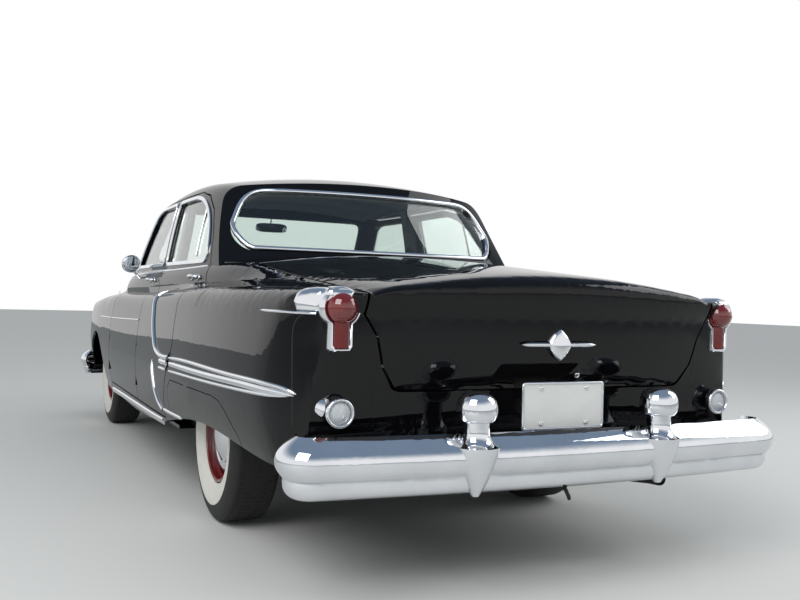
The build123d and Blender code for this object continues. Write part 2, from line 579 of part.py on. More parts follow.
axle = turned(AXLE, (0, REAR_AXLE_Y, TYRE_RADIUS), (0, 0, 0, 0, 0, 20, 0, 0, 0, 0, 0, 0))
for sign in (1, -1):
    x0, x1 = sorted((sign * (461 + SEAT_GAP), sign * 540))
    axle = axle + box(x0, x1, 700, 1850, 300, 316) + box(x0, x1, REAR_AXLE_Y - 50, REAR_AXLE_Y + 50, 305, 352)
save("rear_axle", axle)
RAIL = ((-2440, 215), (940, 215), (1050, 415), (1500, 415), (1620, 340), (2440, 340), (2440, 420),
        (1640, 420), (1520, 512), (1030, 512), (920, 325), (-2440, 325))
rails = [side_prism(RAIL, x, x + 66) for x in (-461, 395)]
bars = [box(-400, 400, y - 35, y + 35, z, z + 36) for y, z in (
    (-2400, 250), (-1200, 285), (0, 285), (1080, 460), (2380, 360))]
frame_solid = rails[0] + rails[1] + bars
save("frame", frame_solid)
engine = box(-190, 190, -2150, -1380, 350, 800) + box(-110, 110, -1380, -1100, 360, 640)
engine = engine + box(-440, 440, -1640, -1580, FLOOR_Z, 362)
save("engine", engine)
pipe_path = FilletPolyline(
    (-280, -1300, 235), (-280, 1500, 235), (-560, 1900, 250), (-560, 2430, 311), radius=[120, 160])
pipe = sweep(Face(Wire(Edge.make_circle(24, Plane((-280, -1300, 235), z_dir=(0, 1, 0))))), path=pipe_path.wire())
save("exhaust", pipe + rod((-280, 150, 235), (-280, 750, 235), 72))

# Floor and cabin
SEAT_Z = FLOOR_Z + FLOOR_T + SEAT_GAP
TRUNK_WALL_X = 600.0
floor = box(-800, 800, DASH_Y + SEAT_GAP, 700, FLOOR_Z, FLOOR_Z + FLOOR_T)
floor = floor + box(-TRUNK_WALL_X, TRUNK_WALL_X, 690, 906, FLOOR_Z, FLOOR_Z + FLOOR_T)
floor = floor + box(-TRUNK_WALL_X, TRUNK_WALL_X, 890, 906, FLOOR_Z, TRUNK_FLOOR_Z + FLOOR_T)
floor = floor + box(-TRUNK_WALL_X, TRUNK_WALL_X, 890, 2465, TRUNK_FLOOR_Z, TRUNK_FLOOR_Z + FLOOR_T)
for sign in (1, -1):
    floor = floor + box(*sorted((sign * TRUNK_WALL_X, sign * (TRUNK_WALL_X - 12))), 1300, 2400, 540, 930)
save("floor_pan", floor)
save("front_seat", box(-640, 640, -420, 120, SEAT_Z, SEAT_Z + 210) + box(-640, 640, 60, 210, 500, 1010))
save("rear_seat", box(-640, 640, 400, 885, SEAT_Z, SEAT_Z + 190)
     + box(-560, 560, 800, 960, TRUNK_FLOOR_Z + FLOOR_T + SEAT_GAP, 1040))
DASH_HALF = 655.0
dashboard = box(-DASH_HALF, DASH_HALF, DASH_Y + SEAT_GAP, DASH_Y + 130, 820, 1050)
column_axis = Vector(0, 375, 230).normalized()
column_top = Vector(STEERING_COLUMN_X, -560, 930)
shaft_end = column_top - column_axis * 130
column_foot = column_top - column_axis * 650
dashboard = dashboard + rod(column_foot, column_top - column_axis * 40, 27)
dashboard = dashboard + box(345, 395, DASH_Y + 60, DASH_Y + 120, 660, 830)
dashboard = dashboard - rod(shaft_end - column_axis * 4, column_top, 18 + HUB_CLEARANCE)
dashboard = dashboard - box(-DASH_HALF, DASH_HALF, DASH_Y - 200, DASH_Y + SEAT_GAP, 400, 1100)
save("dashboard", dashboard)
rim_plane = Plane(origin=column_top, z_dir=column_axis)
steering = rim_plane * Torus(205, 12)
steering = steering + rod(shaft_end, column_top, 18) + rim_plane * Box(400, 26, 12)
save("steering_wheel", steering)


BUMPER_END = (898.0, 2504.0)
BUMPER_CORNER = (959.0, 2585.0)
BUMPER_MIDDLE_Y = 2676.0
BUMPER_LIP = ((0, 0), (30, 22), (36, 62))
BUMPER_ROLL = ((36, 62), (60, 126), (2, 188))
BUMPER_INSIDE = ((0, 174), (47, 122), (24, 66), (20, 32), (0, 12))


def bumper(sign, low_z):
    """Wraparound bumper, open at its back: a full roll over a receding lip; sign is +1 at the tail."""
    (end_x, end_y), (corner_x, corner_y) = BUMPER_END, BUMPER_CORNER
    path = FilletPolyline(
        (end_x, sign * end_y, 0), (corner_x, sign * corner_y, 0), (0, sign * BUMPER_MIDDLE_Y, 0),
        (-corner_x, sign * corner_y, 0), (-end_x, sign * end_y, 0), radius=[50, 7000, 50])
    start, along = path @ 0, path % 0
    out = Vector(abs(along.Y), -sign * along.X, 0)

    def at(points):
        """Points of the section, as (outward, up), at the start of the path."""
        return [start + out * u + Vector(0, 0, low_z + v) for u, v in points]

    lip, roll, inside = at(BUMPER_LIP), at(BUMPER_ROLL), at(BUMPER_INSIDE)
    edges = [curve(*lip), curve(*roll), line(roll[2], inside[0]), curve(*inside[:3]), curve(*inside[2:]),
             line(inside[4], lip[0])]
    blade = sweep(Face(Wire(edges)), path=path.wire())
    side_view = ((2462, 70), (2462, 135), (2480, 172), (2520, 200), (2900, 200), (2900, -12), (2610, -12),
                 (2545, 8), (2490, 38))
    return blade & side_prism([(sign * y, low_z + z) for y, z in side_view], -1010, 1010)


GUARD_Y = 2655.5


def guard(x, sign, low_z):
    """Bumper guard: a keel that widens upwards, a flared shoulder, a neck and a domed head."""
    y = sign * GUARD_Y

    def at(*points):
        """Points of the profile, as (radius, up)."""
        return [(x + r, y, low_z + v) for r, v in points]

    edges = [line(*at((0, -6), (12, -6))), curve(*at((12, -6), (52, 70), (75, 150))),
             curve(*at((75, 150), (48, 172), (42, 206))), line(*at((42, 206), (42, 226))),
             curve(*at((42, 226), (58, 232), (66, 254))), curve(*at((66, 254), (52, 306), (0, 324))),
             line(*at((0, 324), (0, -6)))]
    return revolve(Face(Wire(edges)), Axis((x, y, 0), (0, 0, 1)))


for name, sign, low_z in (("front_bumper", -1, 300), ("rear_bumper", 1, 358)):
    blade = bumper(sign, low_z) + guard(362, sign, low_z) + guard(-362, sign, low_z)
    irons = [box(x - 20, x + 20, *sorted((sign * (2440 + SEAT_GAP), sign * 2650)), low_z + 10, low_z + 40)
             for x in (-428, 428)]
    save(name, blade + irons)

# Lamps, plate and mirror
rear_seat_body = body_volume(rear_stations, -SEAT_GAP) & end_volume(TAIL_PROFILES, TAIL_CORNER, -SEAT_GAP)
lamps = []
for sign in (1, -1):
    lamp = Pos(sign * 767, 2505, 930) * Sphere(52) + box(sign * 767 - 34, sign * 767 + 34, 2400, 2518, 800, 930)
    low = rod((sign * 766, 2420, 605), (sign * 766, 2510, 605), 42)
    lamps += [(lamp - rear_seat_body).solids().sort_by(Axis.Y)[-1], (low - rear_seat_body).solids().sort_by(Axis.Y)[-1]]
save("tail_lamps", *lamps)
front_seat_body = body_volume(front_stations, -SEAT_GAP) & end_volume(NOSE_PROFILES, NOSE_CORNER, -SEAT_GAP)
heads = [(rod((x, -2400, 770), (x, -2625, 770), 92) - front_seat_body).solids().sort_by(Axis.Y)[0]
         for x in (-780, 780)]
save("headlamps", *heads)
plate = box(-160, 160, 2600, 2604, 545, 695) + box(-60, 60, TAIL_Y - 40, 2601, 560, 600)
save("number_plate", (plate - rear_seat_body).solids().sort_by(Axis.Y)[-1])
door_seat_body = body_volume(wall_stations, -SEAT_GAP)
mirror_post = rod((835, -690, 1030), (890, -740, 1100), 7) + rod((898, -748, 1132), (898, -728, 1132), 53)
save("mirror", (mirror_post - door_seat_body).solids().sort_by(Axis.Z)[-1])
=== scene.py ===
"""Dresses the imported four-door sedan of the early 1950s for its studio render.

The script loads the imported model, gives every carried-over node its finish, builds the trim, lamps,
tyres, seats and small fittings as pieces of their own, and sets the studio and the camera.
"""

import json
import logging
import math
from dataclasses import dataclass
from enum import Enum
from typing import Callable, Iterable, Optional, Sequence

import bmesh
import bpy
from mathutils import Matrix, Vector
from mathutils.bvhtree import BVHTree

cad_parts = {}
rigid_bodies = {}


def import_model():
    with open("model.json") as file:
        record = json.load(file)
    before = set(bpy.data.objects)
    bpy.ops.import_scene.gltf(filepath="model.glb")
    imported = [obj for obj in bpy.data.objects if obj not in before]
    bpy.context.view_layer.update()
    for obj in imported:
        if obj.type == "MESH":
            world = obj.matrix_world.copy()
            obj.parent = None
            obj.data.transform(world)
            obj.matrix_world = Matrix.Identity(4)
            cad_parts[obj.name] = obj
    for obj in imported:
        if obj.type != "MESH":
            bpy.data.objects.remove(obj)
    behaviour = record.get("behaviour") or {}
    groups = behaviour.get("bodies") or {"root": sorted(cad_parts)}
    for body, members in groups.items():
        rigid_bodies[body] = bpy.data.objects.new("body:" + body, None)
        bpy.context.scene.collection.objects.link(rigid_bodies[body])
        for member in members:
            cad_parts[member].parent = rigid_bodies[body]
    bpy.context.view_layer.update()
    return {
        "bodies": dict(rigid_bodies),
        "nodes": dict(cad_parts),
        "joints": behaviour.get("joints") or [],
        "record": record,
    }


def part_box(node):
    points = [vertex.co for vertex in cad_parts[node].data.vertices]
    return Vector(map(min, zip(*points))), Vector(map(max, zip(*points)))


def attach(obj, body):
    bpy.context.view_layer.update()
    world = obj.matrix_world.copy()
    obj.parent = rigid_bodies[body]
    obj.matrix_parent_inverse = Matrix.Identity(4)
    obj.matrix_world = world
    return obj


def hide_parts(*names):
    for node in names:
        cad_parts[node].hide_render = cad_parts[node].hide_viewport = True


LOG = logging.getLogger("sedan")
SIDES = ((1, "left"), (-1, "right"))
Point = tuple[float, float, float]
# Points of an outline or a profile
Outline = Sequence[tuple[float, float]]
# Points and faces of a mesh
Part = tuple[list, list]
# Places on a surface with their normals
Path = Sequence[tuple[Vector, Vector]]


def srgb(code: str) -> tuple[float, float, float, float]:
    """Turn an sRGB hex code into linear RGBA.

    Args:
        code: Six hex digits, such as "1a1a1c".

    Returns:
        The linear colour with an alpha of 1.
    """
    channels = [int(code[k:k + 2], 16) / 255 for k in (0, 2, 4)]
    linear = [c / 12.92 if c <= 0.04045 else ((c + 0.055) / 1.055) ** 2.4 for c in channels]
    return (*linear, 1.0)


def add_node(tree: bpy.types.NodeTree, kind: str, settings: Optional[dict] = None,
             inputs: Optional[dict] = None, links: Optional[dict] = None) -> bpy.types.Node:
    """Add one node with its settings, socket values and incoming links.

    Args:
        tree: The node tree that gets the node.
        kind: Blender's name of the node type.
        settings: Attributes of the node.
        inputs: Values by socket name or number.
        links: Output sockets by the name or number of the input they feed.

    Returns:
        The new node.
    """
    node = tree.nodes.new(kind)
    for name, value in (settings or {}).items():
        setattr(node, name, value)
    for name, value in (inputs or {}).items():
        node.inputs[name].default_value = value
    for name, socket in (links or {}).items():
        tree.links.new(socket, node.inputs[name])
    return node


def placed(name: str, data: Optional[bpy.types.ID]) -> bpy.types.Object:
    """Put a new object with its data at the scene's origin."""
    obj = bpy.data.objects.new(name, data)
    bpy.context.scene.collection.objects.link(obj)
    return obj


def empty_tree(block: bpy.types.ID) -> bpy.types.NodeTree:
    """Return the emptied node tree of a material or a world."""
    block.use_nodes = True
    block.node_tree.nodes.clear()
    return block.node_tree


class Pattern(Enum):
    """The surface pattern that a finish draws, as the directions of its waves; a grain has none."""

    GRAIN = ""
    WEAVE = "XZ"
    RIBS = "X"


@dataclass(frozen=True)
class Finish:
    """One real material: its colours, its shader values and the pattern of its surface."""

    name: str
    slot: str
    colour: str
    second: str
    metallic: float = 0.0
    roughness: float = 0.5
    coat: float = 0.0
    coat_roughness: float = 0.03
    coat_ior: float = 1.5
    specular: float = 0.5
    transmission: float = 0.0
    ior: float = 1.5
    sheen: float = 0.0
    pattern: Pattern = Pattern.GRAIN
    scale_mm: float = 30.0
    bump: float = 0.0
    bump_mm: float = 0.2
    variation: float = 0.35

    def build(self) -> bpy.types.Material:
        """Make the node material of this finish, once.

        Returns:
            The material, which later calls share.
        """
        known = bpy.data.materials.get(self.name)
        if known is not None:
            return known
        material = bpy.data.materials.new(self.name)
        tree = empty_tree(material)
        output = add_node(tree, "ShaderNodeOutputMaterial")
        place = add_node(tree, "ShaderNodeTexCoord")
        shader = add_node(tree, "ShaderNodeBsdfPrincipled", inputs={
            "Metallic": self.metallic, "Roughness": self.roughness, "IOR": self.ior,
            "Coat Weight": self.coat, "Coat Roughness": self.coat_roughness, "Coat IOR": self.coat_ior,
            "Specular IOR Level": self.specular,
            "Transmission Weight": self.transmission, "Sheen Weight": self.sheen})
        tree.links.new(shader.outputs[0], output.inputs["Surface"])
        fine = add_node(tree, "ShaderNodeTexNoise", inputs={"Scale": 1000.0 / self.scale_mm, "Detail": 4.0},
                        links={"Vector": place.outputs["Object"]})
        ramp = add_node(tree, "ShaderNodeMapRange", inputs={
            "From Min": 0.35, "From Max": 0.65, "To Min": 0.0, "To Max": self.variation},
            links={"Value": fine.outputs["Fac"]})
        colour = add_node(tree, "ShaderNodeMix", settings={"data_type": "RGBA"},
                          inputs={6: srgb(self.colour), 7: srgb(self.second)},
                          links={0: ramp.outputs["Result"]})
        tree.links.new(colour.outputs[2], shader.inputs["Base Color"])
        if self.bump:
            height = self._height(tree, place)
            relief = add_node(tree, "ShaderNodeBump", inputs={
                "Strength": self.bump, "Distance": self.bump_mm / 1000.0}, links={"Height": height})
            tree.links.new(relief.outputs["Normal"], shader.inputs["Normal"])
        return material

    def _height(self, tree: bpy.types.NodeTree, place: bpy.types.Node) -> bpy.types.NodeSocket:
        """Draw the height of the pattern.

        Args:
            tree: The material's node tree.
            place: The node that gives the texture coordinates.

        Returns:
            The socket of the height.
        """
        at = {"Vector": place.outputs["Object"]}
        if self.pattern is Pattern.GRAIN:
            return add_node(tree, "ShaderNodeTexNoise", links=at, inputs={
                "Scale": 1000.0 / self.scale_mm, "Detail": 3.0}).outputs["Fac"]
        waves = [add_node(tree, "ShaderNodeTexWave", settings={"bands_direction": direction},
                          inputs={"Scale": 500.0 / self.scale_mm}, links=at).outputs["Fac"]
                 for direction in self.pattern.value]
        if len(waves) == 1:
            return waves[0]
        return add_node(tree, "ShaderNodeMath", settings={"operation": "MAXIMUM"},
                        links=dict(enumerate(waves))).outputs[0]


# Gloss black enamel, sprayed and polished: a deep black with a sharp clear reflection
ENAMEL = Finish("black_enamel", "black_paint", "08080a", "0c0c0f", roughness=0.3, coat=0.8,
                coat_roughness=0.012, coat_ior=1.42, specular=0.0, scale_mm=400.0, variation=0.6)
# Chrome plate on polished steel: a bright mirror, very slightly cool
CHROME = Finish("chrome_plate", "chrome", "e4e6ea", "d5d8dd", metallic=1.0, roughness=0.045,
                scale_mm=120.0, variation=0.5)
# Clear safety glass: thin, with a light green tint
GLASS = Finish("window_glass", "glass", "e9f2ee", "e4eee9", roughness=0.0, transmission=1.0, ior=1.5,
               scale_mm=500.0)
# Red moulded lens: deep ruby with a gloss surface
RED_LENS = Finish("ruby_lens", "lamp_red", "7c0b0a", "5d0605", roughness=0.08, coat=1.0, transmission=0.25,
                  scale_mm=40.0)
# Clear fluted glass of the white lamps
CLEAR_LENS = Finish("fluted_lens", "lamp_clear", "e6ebee", "d7dde1", roughness=0.06, coat=0.6,
                    transmission=0.35, pattern=Pattern.RIBS, scale_mm=9.0, bump=0.6, bump_mm=1.0)
# White stove enamel of the blank plate
PLATE_WHITE = Finish("plate_enamel", "plate_white", "dfe0dc", "cfd0cb", roughness=0.35, coat=0.3,
                     scale_mm=60.0)
# Pale grey-green broadcloth: a soft weave with a light sheen
BROADCLOTH = Finish("broadcloth", "upholstery", "b9c0ae", "a9b19d", roughness=0.9, sheen=0.3,
                    pattern=Pattern.WEAVE, scale_mm=3.0, bump=0.5, bump_mm=0.4)
# Satin enamel of the dashboard
DASH = Finish("dash_enamel", "dash_paint", "59604f", "4c5343", roughness=0.35, coat=0.4, scale_mm=90.0)
# Ivory hard plastic of the steering wheel
IVORY = Finish("ivory_plastic", "steering_plastic", "cfc6a6", "c1b794", roughness=0.25, coat=0.3,
               scale_mm=50.0)
# Painted cast iron with a sandy surface
CAST_IRON = Finish("cast_iron", "cast_iron", "30382f", "232923", roughness=0.6, scale_mm=12.0, bump=0.5,
                   bump_mm=0.8)
# Black tyre rubber, matt and a little dusty
RUBBER = Finish("tyre_rubber", "tyre", "1b1b1b", "272624", roughness=0.75, scale_mm=25.0, bump=0.25,
                bump_mm=0.4)
# White rubber band of the tyres, slightly cream and matt
WHITEWALL = Finish("white_rubber", "tyre", "dcdad2", "cfccc2", roughness=0.65, scale_mm=40.0, bump=0.1,
                   bump_mm=0.2)
# Maroon stove enamel of the wheel rims
MAROON = Finish("maroon_enamel", "wheel_steel", "6d1c1d", "5b1415", roughness=0.3, coat=0.5, scale_mm=60.0)
# Matt black chassis paint with road dust
CHASSIS = Finish("chassis_paint", "chassis_steel", "161616", "24221f", roughness=0.7, scale_mm=80.0,
                 bump=0.2, bump_mm=0.5)
# Dark grey cloth of the roof lining, stretched and close-woven
LINING = Finish("roof_lining", "upholstery", "3d4652", "353d48", roughness=0.95, sheen=0.2,
                pattern=Pattern.WEAVE, scale_mm=4.0, bump=0.3, bump_mm=0.3)
# Woven carpet of the floor: a short loop pile
CARPET = Finish("loop_carpet", "upholstery", "4a4f49", "3c403b", roughness=1.0, sheen=0.2,
                pattern=Pattern.GRAIN, scale_mm=5.0, bump=0.8, bump_mm=1.5)
# Vinyl of the seats' piping and of the armrests
PIPING = Finish("vinyl_piping", "upholstery", "8e9584", "848b7a", roughness=0.5, scale_mm=15.0)
# Black rubber of the wiper blades and of the bead in the fenders' end seams
SEAL = Finish("seal_rubber", "tyre", "121212", "191918", roughness=0.7, scale_mm=20.0, bump=0.1, bump_mm=0.2)
# Silvered mirror glass
MIRROR = Finish("silvered_glass", "chrome", "aab2ba", "a0a8b0", metallic=1.0, roughness=0.01, scale_mm=200.0)
# Ivory enamel of the instrument faces
DIAL = Finish("dial_enamel", "plate_white", "d8d2bd", "cbc5b0", roughness=0.4, scale_mm=20.0)

SLOT_FINISHES = {f.slot: f for f in (
    ENAMEL, CHROME, GLASS, RED_LENS, CLEAR_LENS, PLATE_WHITE, BROADCLOTH, DASH, IVORY, CAST_IRON, RUBBER,
    MAROON, CHASSIS)}


@dataclass
class Studio:
    """Pale floor, soft lamps, plain world and the camera at the photograph's angle."""

    floor_half: float = 40.0
    camera_place: Point = (1.814, 5.164, 0.964)
    camera_yaw: float = -25.58
    camera_pitch: float = 0.64
    camera_roll: float = 1.52
    focal_px: float = 923.1
    centre_px: tuple[float, float] = (407.9, 288.1)
    photo_size: tuple[int, int] = (800, 600)
    sensor_mm: float = 36.0

    def camera(self) -> None:
        """Place the camera that was solved from the photograph."""
        data = bpy.data.cameras.new("photo_camera")
        camera = placed("photo_camera", data)
        yaw, pitch, roll = (math.radians(a) for a in (self.camera_yaw, self.camera_pitch, self.camera_roll))
        forward = Vector((math.sin(yaw) * math.cos(pitch), -math.cos(yaw) * math.cos(pitch), math.sin(pitch)))
        right = forward.cross(Vector((0, 0, 1))).normalized()
        up = right.cross(forward)
        across = right * math.cos(roll) + up * math.sin(roll)
        upward = -right * math.sin(roll) + up * math.cos(roll)
        turn = Matrix((across, upward, -forward)).transposed().to_4x4()
        camera.matrix_world = Matrix.Translation(self.camera_place) @ turn
        width, height = self.photo_size
        data.sensor_width = self.sensor_mm
        data.lens = self.focal_px / width * self.sensor_mm
        data.shift_x = (width / 2 - self.centre_px[0]) / width
        data.shift_y = (self.centre_px[1] - height / 2) / width
        data.clip_end = 200.0
        bpy.context.scene.camera = camera

    def world(self) -> None:
        """Light the scene evenly, with a background that darkens towards the zenith in reflections."""
        world = bpy.data.worlds.new("studio_world")
        bpy.context.scene.world = world
        tree = empty_tree(world)
        output = add_node(tree, "ShaderNodeOutputWorld")
        place = add_node(tree, "ShaderNodeTexCoord")
        split = add_node(tree, "ShaderNodeSeparateXYZ", links={0: place.outputs["Generated"]})
        height = add_node(tree, "ShaderNodeMapRange", settings={"interpolation_type": "SMOOTHSTEP"},
                          inputs={"From Min": 0.30, "From Max": 0.75, "To Min": 0.0, "To Max": 1.0},
                          links={"Value": split.outputs["Z"]})
        shown = add_node(tree, "ShaderNodeMix", settings={"data_type": "RGBA"},
                         inputs={6: (1, 1, 1, 1), 7: srgb("7d8ea3")}, links={0: height.outputs["Result"]})
        path = add_node(tree, "ShaderNodeLightPath")
        seen = add_node(tree, "ShaderNodeMath", settings={"operation": "MAXIMUM"},
                        links={0: path.outputs["Is Camera Ray"], 1: path.outputs["Is Glossy Ray"]})
        seen = add_node(tree, "ShaderNodeMath", settings={"operation": "MAXIMUM"},
                        links={0: seen.outputs[0], 1: path.outputs["Is Transmission Ray"]})
        dim = add_node(tree, "ShaderNodeBackground", inputs={"Color": (0.9, 0.95, 1.0, 1), "Strength": 0.62})
        bright = add_node(tree, "ShaderNodeBackground", inputs={"Strength": 1.0},
                          links={"Color": shown.outputs[2]})
        mix = add_node(tree, "ShaderNodeMixShader",
                       links={0: seen.outputs[0], 1: dim.outputs[0], 2: bright.outputs[0]})
        tree.links.new(mix.outputs[0], output.inputs["Surface"])

    def floor(self) -> None:
        """Lay the pale floor."""
        mesh = bpy.data.meshes.new("studio_floor")
        h = self.floor_half
        mesh.from_pydata([(-h, -h, 0), (h, -h, 0), (h, h, 0), (-h, h, 0)], [], [(0, 1, 2, 3)])
        floor = placed("studio_floor", mesh)
        material = bpy.data.materials.new("pale_floor")
        tree = empty_tree(material)
        output = add_node(tree, "ShaderNodeOutputMaterial")
        matt = add_node(tree, "ShaderNodeBsdfDiffuse", inputs={"Color": srgb("d9d9d6")})
        tree.links.new(matt.outputs[0], output.inputs["Surface"])
        mesh.materials.append(material)

    def lamps(self) -> None:
        """Hang two large soft lamps."""
        for name, place, aim, size, power in (
                ("key_lamp", (4.5, 5.0, 5.0), (0.0, 1.0, 0.6), 4.0, 260.0),
                ("fill_lamp", (-6.0, 3.0, 4.5), (0.0, 0.0, 0.8), 4.0, 140.0)):
            data = bpy.data.lights.new(name, "AREA")
            data.size = size
            data.energy = power
            lamp = placed(name, data)
            lamp.location = place
            lamp.rotation_euler = (Vector(aim) - Vector(place)).to_track_quat("-Z", "Y").to_euler()

    def build(self) -> None:
        """Set up the whole studio."""
        bpy.context.scene.view_settings.view_transform = "Standard"
        self.world()
        self.floor()
        self.lamps()
        self.camera()


def carried(obj: bpy.types.Object, finish: Finish, body: str) -> bpy.types.Object:
    """Give a piece its finish and the body that it rides on.

    Args:
        obj: The piece.
        finish: Its material.
        body: The body that carries it.

    Returns:
        The piece.
    """
    obj.data.materials.clear()
    obj.data.materials.append(finish.build())
    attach(obj, body)
    LOG.info("piece %s rides on %s and has %d faces", obj.name, body, len(obj.data.polygons))
    return obj


def fresh_object(name: str, verts: Sequence, faces: Sequence, finish: Finish, body: str,
                 sharp_degrees: float = 35.0) -> bpy.types.Object:
    """Make a finished mesh piece that rides on a body.

    Args:
        name: The piece's name.
        verts: Points in metres.
        faces: Corner numbers of each face.
        finish: The material of the piece.
        body: The body that carries it.
        sharp_degrees: Edges sharper than this stay sharp.

    Returns:
        The new object, whose origin is the scene's origin.
    """
    mesh = bpy.data.meshes.new(name)
    mesh.from_pydata([tuple(v) for v in verts], [], [tuple(f) for f in faces])
    work = bmesh.new()
    work.from_mesh(mesh)
    bmesh.ops.remove_doubles(work, verts=work.verts, dist=1e-6)
    bmesh.ops.recalc_face_normals(work, faces=work.faces)
    work.to_mesh(mesh)
    work.free()
    for polygon in mesh.polygons:
        polygon.use_smooth = True
    mesh.set_sharp_from_angle(angle=math.radians(sharp_degrees))
    return carried(placed(name, mesh), finish, body)


def merged(parts: Iterable[Part]) -> Part:
    """Join several meshes into one.

    Args:
        parts: Points and faces of each.

    Returns:
        Points and faces of the whole.
    """
    verts, faces = [], []
    for points, polygons in parts:
        base = len(verts)
        verts += [Vector(p) for p in points]
        faces += [[base + k for k in f] for f in polygons]
    return verts, faces


def flipped(part: Part) -> Part:
    """Mirror points and faces to the other side of the car."""
    points, polygons = part
    return [Vector((-p[0], p[1], p[2])) for p in points], [list(f)[::-1] for f in polygons]


def spread(low: float, high: float, steps: int) -> list[float]:
    """Return numbers at even steps from low to high."""
    return [low + (high - low) * k / steps for k in range(steps + 1)]


def round_angles(count: int) -> list[float]:
    """Return so many even angles of a full turn."""
    return [2 * math.pi * k / count for k in range(count)]


def clamped(value: float) -> float:
    """Keep a share between nothing and all."""
    return min(1.0, max(0.0, value))


def squared_off(value: float, power: float) -> float:
    """Raise the size of a number to a power and keep its sign."""
    return math.copysign(abs(value) ** power, value)


def span(points: Sequence[Sequence[float]], axis: int) -> float:
    """Return how far points reach along an axis."""
    return max(p[axis] for p in points) - min(p[axis] for p in points)


def sheet(rows: Sequence[Sequence], ring: bool = False, loop: bool = False, ends: bool = False,
          fits: Optional[Callable[[list], bool]] = None) -> Part:
    """Fill a grid of points with four-cornered faces.

    Args:
        rows: Rows of equally many points, where None leaves a hole.
        ring: Whether each row comes back to its first point.
        loop: Whether the last row joins the first one.
        ends: Whether the first and the last row are closed with a face.
        fits: Tells from the corners of a face whether it is made.

    Returns:
        Points and faces.
    """
    verts, index, faces = [], {}, []
    for k, row in enumerate(rows):
        for n, place in enumerate(row):
            if place is not None:
                index[k, n] = len(verts)
                verts.append(place)
    size = len(rows[0])
    for k in range(len(rows) if loop else len(rows) - 1):
        after = (k + 1) % len(rows)
        for n in range(size if ring else size - 1):
            m = (n + 1) % size
            keys = ((k, n), (k, m), (after, m), (after, n))
            if not all(key in index for key in keys):
                continue
            face = tuple(index[key] for key in keys)
            if fits is None or fits([verts[corner] for corner in face]):
                faces.append(face)
    if ends:
        faces += [tuple(range(size))[::-1], tuple(range(len(verts) - size, len(verts)))]
    return verts, faces


def resampled(points: Sequence[Sequence[float]], step: float, closed: bool = False) -> list[Vector]:
    """Lay even points on a smooth curve through the given points.

    Args:
        points: Points of two or three numbers.
        step: Distance between the new points.
        closed: Whether the curve comes back to its first point.

    Returns:
        The new points, as three-number vectors.
    """
    knots = [Vector(tuple(p) + (0.0,) * (3 - len(p))) for p in points]
    count = len(knots)
    dense: list[Vector] = []
    for k in range(count if closed else count - 1):
        p0 = knots[(k - 1) % count] if closed or k else knots[0]
        p1, p2 = knots[k], knots[(k + 1) % count]
        p3 = knots[(k + 2) % count] if closed or k + 2 < count else knots[-1]
        a = max((p1 - p0).length, 1e-6) ** 0.5
        b = max((p2 - p1).length, 1e-6) ** 0.5
        c = max((p3 - p2).length, 1e-6) ** 0.5
        m1 = (p2 - p1) / b - ((p2 - p0) / (a + b) - (p1 - p0) / a if a > 1e-2 else Vector())
        m2 = (p2 - p1) / b + ((p3 - p2) / c - (p3 - p1) / (b + c) if c > 1e-2 else Vector())
        m1, m2 = m1 * b, m2 * b
        for n in range(16):
            t = n / 16
            dense.append((2 * t ** 3 - 3 * t ** 2 + 1) * p1 + (t ** 3 - 2 * t ** 2 + t) * m1
                         + (3 * t ** 2 - 2 * t ** 3) * p2 + (t ** 3 - t ** 2) * m2)
    dense.append(knots[0].copy() if closed else knots[-1].copy())
    lengths = [0.0]
    for p, q in zip(dense, dense[1:]):
        lengths.append(lengths[-1] + (q - p).length)
    total = max(2, round(lengths[-1] / step))
    result, at = [], 0
    for n in range(total + (0 if closed else 1)):
        goal = lengths[-1] * n / total
        while at < len(lengths) - 2 and lengths[at + 1] < goal:
            at += 1
        span = max(lengths[at + 1] - lengths[at], 1e-9)
        result.append(dense[at].lerp(dense[at + 1], (goal - lengths[at]) / span))
    return result


def rounded_outline(corners: Outline, radii: Sequence[float], steps: int = 8) -> list[Vector]:
    """Round the corners of a closed outline.

    Args:
        corners: Corners of the outline.
        radii: A radius for each corner.
        steps: How many steps each round has.

    Returns:
        Points of the rounded outline.
    """
    result = []
    count = len(corners)
    for k, (corner, radius) in enumerate(zip(corners, radii)):
        here = Vector(corner)
        before = Vector(corners[k - 1]) - here
        after = Vector(corners[(k + 1) % count]) - here
        reach = min(radius, 0.49 * before.length, 0.49 * after.length)
        start, end = here + before.normalized() * reach, here + after.normalized() * reach
        for n in range(steps + 1):
            t = n / steps
            result.append((1 - t) ** 2 * start + 2 * t * (1 - t) * here + t ** 2 * end)
    return result


